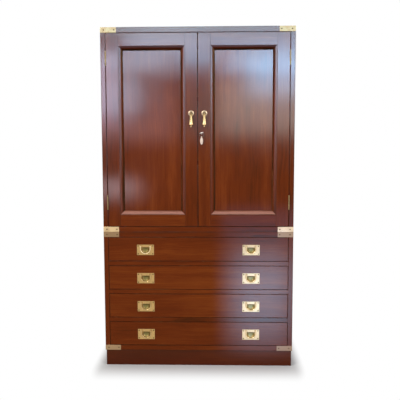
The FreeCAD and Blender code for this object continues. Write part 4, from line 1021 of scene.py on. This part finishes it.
def makeFloor():
    mesh = bpy.data.meshes.new("floor")
    far = studio["floorReach"]
    mesh.from_pydata([(-far, -far, 0), (far, -far, 0), (far, far, 0), (-far, far, 0)], [], [(0, 1, 2, 3)])
    finish = bpy.data.materials.new("paleFloor")
    finish.use_nodes = True
    tree = finish.node_tree
    tree.nodes.clear()
    # painted shadow: near the base the floor is a grey that also takes the real shadow, farther off it
    # glows white
    flat = wire(tree, "ShaderNodeBsdfDiffuse", {"Color": studio["floorColour"]})
    glow = wire(tree, "ShaderNodeEmission", {"Color": rgb(1, 1, 1), "Strength": 1.0})
    past = vectorCalc(tree, "ABSOLUTE", objectPlace(tree))
    past = vectorCalc(tree, "SUBTRACT", past, (cadBox[1].x, -frontY, 0))
    past = vectorCalc(tree, "DIVIDE", past, (*studio["floorFade"], 1))  # beside and before the plinth
    away = vectorCalc(tree, "LENGTH", vectorCalc(tree, "MAXIMUM", past))
    share = times(tree, lookedAt(tree), ramp(tree, away, 0.0, 1.0))
    mixed = wire(tree, "ShaderNodeMixShader", {0: share, 1: flat.outputs[0], 2: glow.outputs[0]})
    wire(tree, "ShaderNodeOutputMaterial", {"Surface": mixed.outputs[0]})
    mesh.materials.append(finish)
    floor = bpy.data.objects.new("floor", mesh)
    scene.collection.objects.link(floor)


def makeWorld():
    world = bpy.data.worlds.new("paleStudio")
    world.use_nodes = True
    tree = world.node_tree
    tree.nodes.clear()
    sockets = {"Value": lookedAt(tree), "To Min": studio["worldFill"], "To Max": 1.0}
    level = wire(tree, "ShaderNodeMapRange", sockets).outputs["Result"]
    back = wire(tree, "ShaderNodeBackground", {"Color": rgb(1, 1, 1), "Strength": level})
    wire(tree, "ShaderNodeOutputWorld", {"Surface": back.outputs[0]})
    scene.world = world


def hangLamp(name, place, size, watts, colour, aim=studio["lampAim"]):
    data = bpy.data.lights.new(name, "AREA")
    data.shape = "RECTANGLE"
    data.size, data.size_y = size
    data.energy = watts
    data.color = colour
    lamp = bpy.data.objects.new(name, data)
    lamp.location = place
    lamp.rotation_euler = (Vector(aim) - Vector(place)).to_track_quat("-Z", "Y").to_euler()
    lamp.visible_camera = False
    scene.collection.objects.link(lamp)
    return lamp


def hangSheen(name, left, right, bottom, top, ahead, soft, radiance, receivers):
    place = Vector(((left + right) / 2, frontY - ahead, (bottom + top) / 2))
    size = (right - left, top - bottom)
    level = max(radiance)
    watts = level * math.pi * size[0] * size[1]
    lamp = hangLamp(name, place, size, watts, [c / level for c in radiance], place + Vector((0, 1, 0)))
    lamp.visible_diffuse = False  # it is only mirrored
    lamp.light_linking.receiver_collection = receivers
    if ahead < studio["nearCard"] and receivers is polished:
        lamp.data.spread = math.radians(studio["cardSpread"])  # a grid keeps it to the front
    lamp.data.use_nodes = True
    tree = lamp.data.node_tree
    across = wire(tree, "ShaderNodeNewGeometry").outputs["Parametric"]
    centred = vectorCalc(tree, "ABSOLUTE", vectorCalc(tree, "SUBTRACT", across, (0.5, 0.5, 0.0)))
    part = wire(tree, "ShaderNodeSeparateXYZ", {0: centred}).outputs
    softs = soft if isinstance(soft, tuple) else (soft, soft)
    fades = [ramp(tree, part[i], 0.5, 0.5 - softs[i] / size[i]) for i in (0, 1)]
    tree.links.new(times(tree, *fades), tree.nodes["Emission"].inputs["Strength"])


def setCamera():
    yaw, pitch, roll = (math.radians(studio[k]) for k in ("yaw", "pitch", "roll"))
    ahead = Vector((math.sin(yaw) * math.cos(pitch), math.cos(yaw) * math.cos(pitch), -math.sin(pitch)))
    right = Vector((math.cos(yaw), -math.sin(yaw), 0))
    up = right.cross(ahead)
    across = right * math.cos(roll) + up * math.sin(roll)
    above = up * math.cos(roll) - right * math.sin(roll)
    data = bpy.data.cameras.new("photoCamera")
    data.sensor_fit = "HORIZONTAL"
    data.sensor_width = studio["sensor"]
    data.lens = studio["lens"]
    camera = bpy.data.objects.new("photoCamera", data)
    turn = Matrix((across, above, -ahead)).transposed().to_4x4()
    camera.matrix_world = Matrix.Translation(studio["camera"]) @ turn
    scene.collection.objects.link(camera)
    scene.camera = camera


makeFloor()
makeWorld()
for lamp in lamps:
    hangLamp(*lamp)
for sheen in sheens:
    hangSheen(*sheen)
setCamera()
scene.view_settings.view_transform = "Standard"
print("stage set")
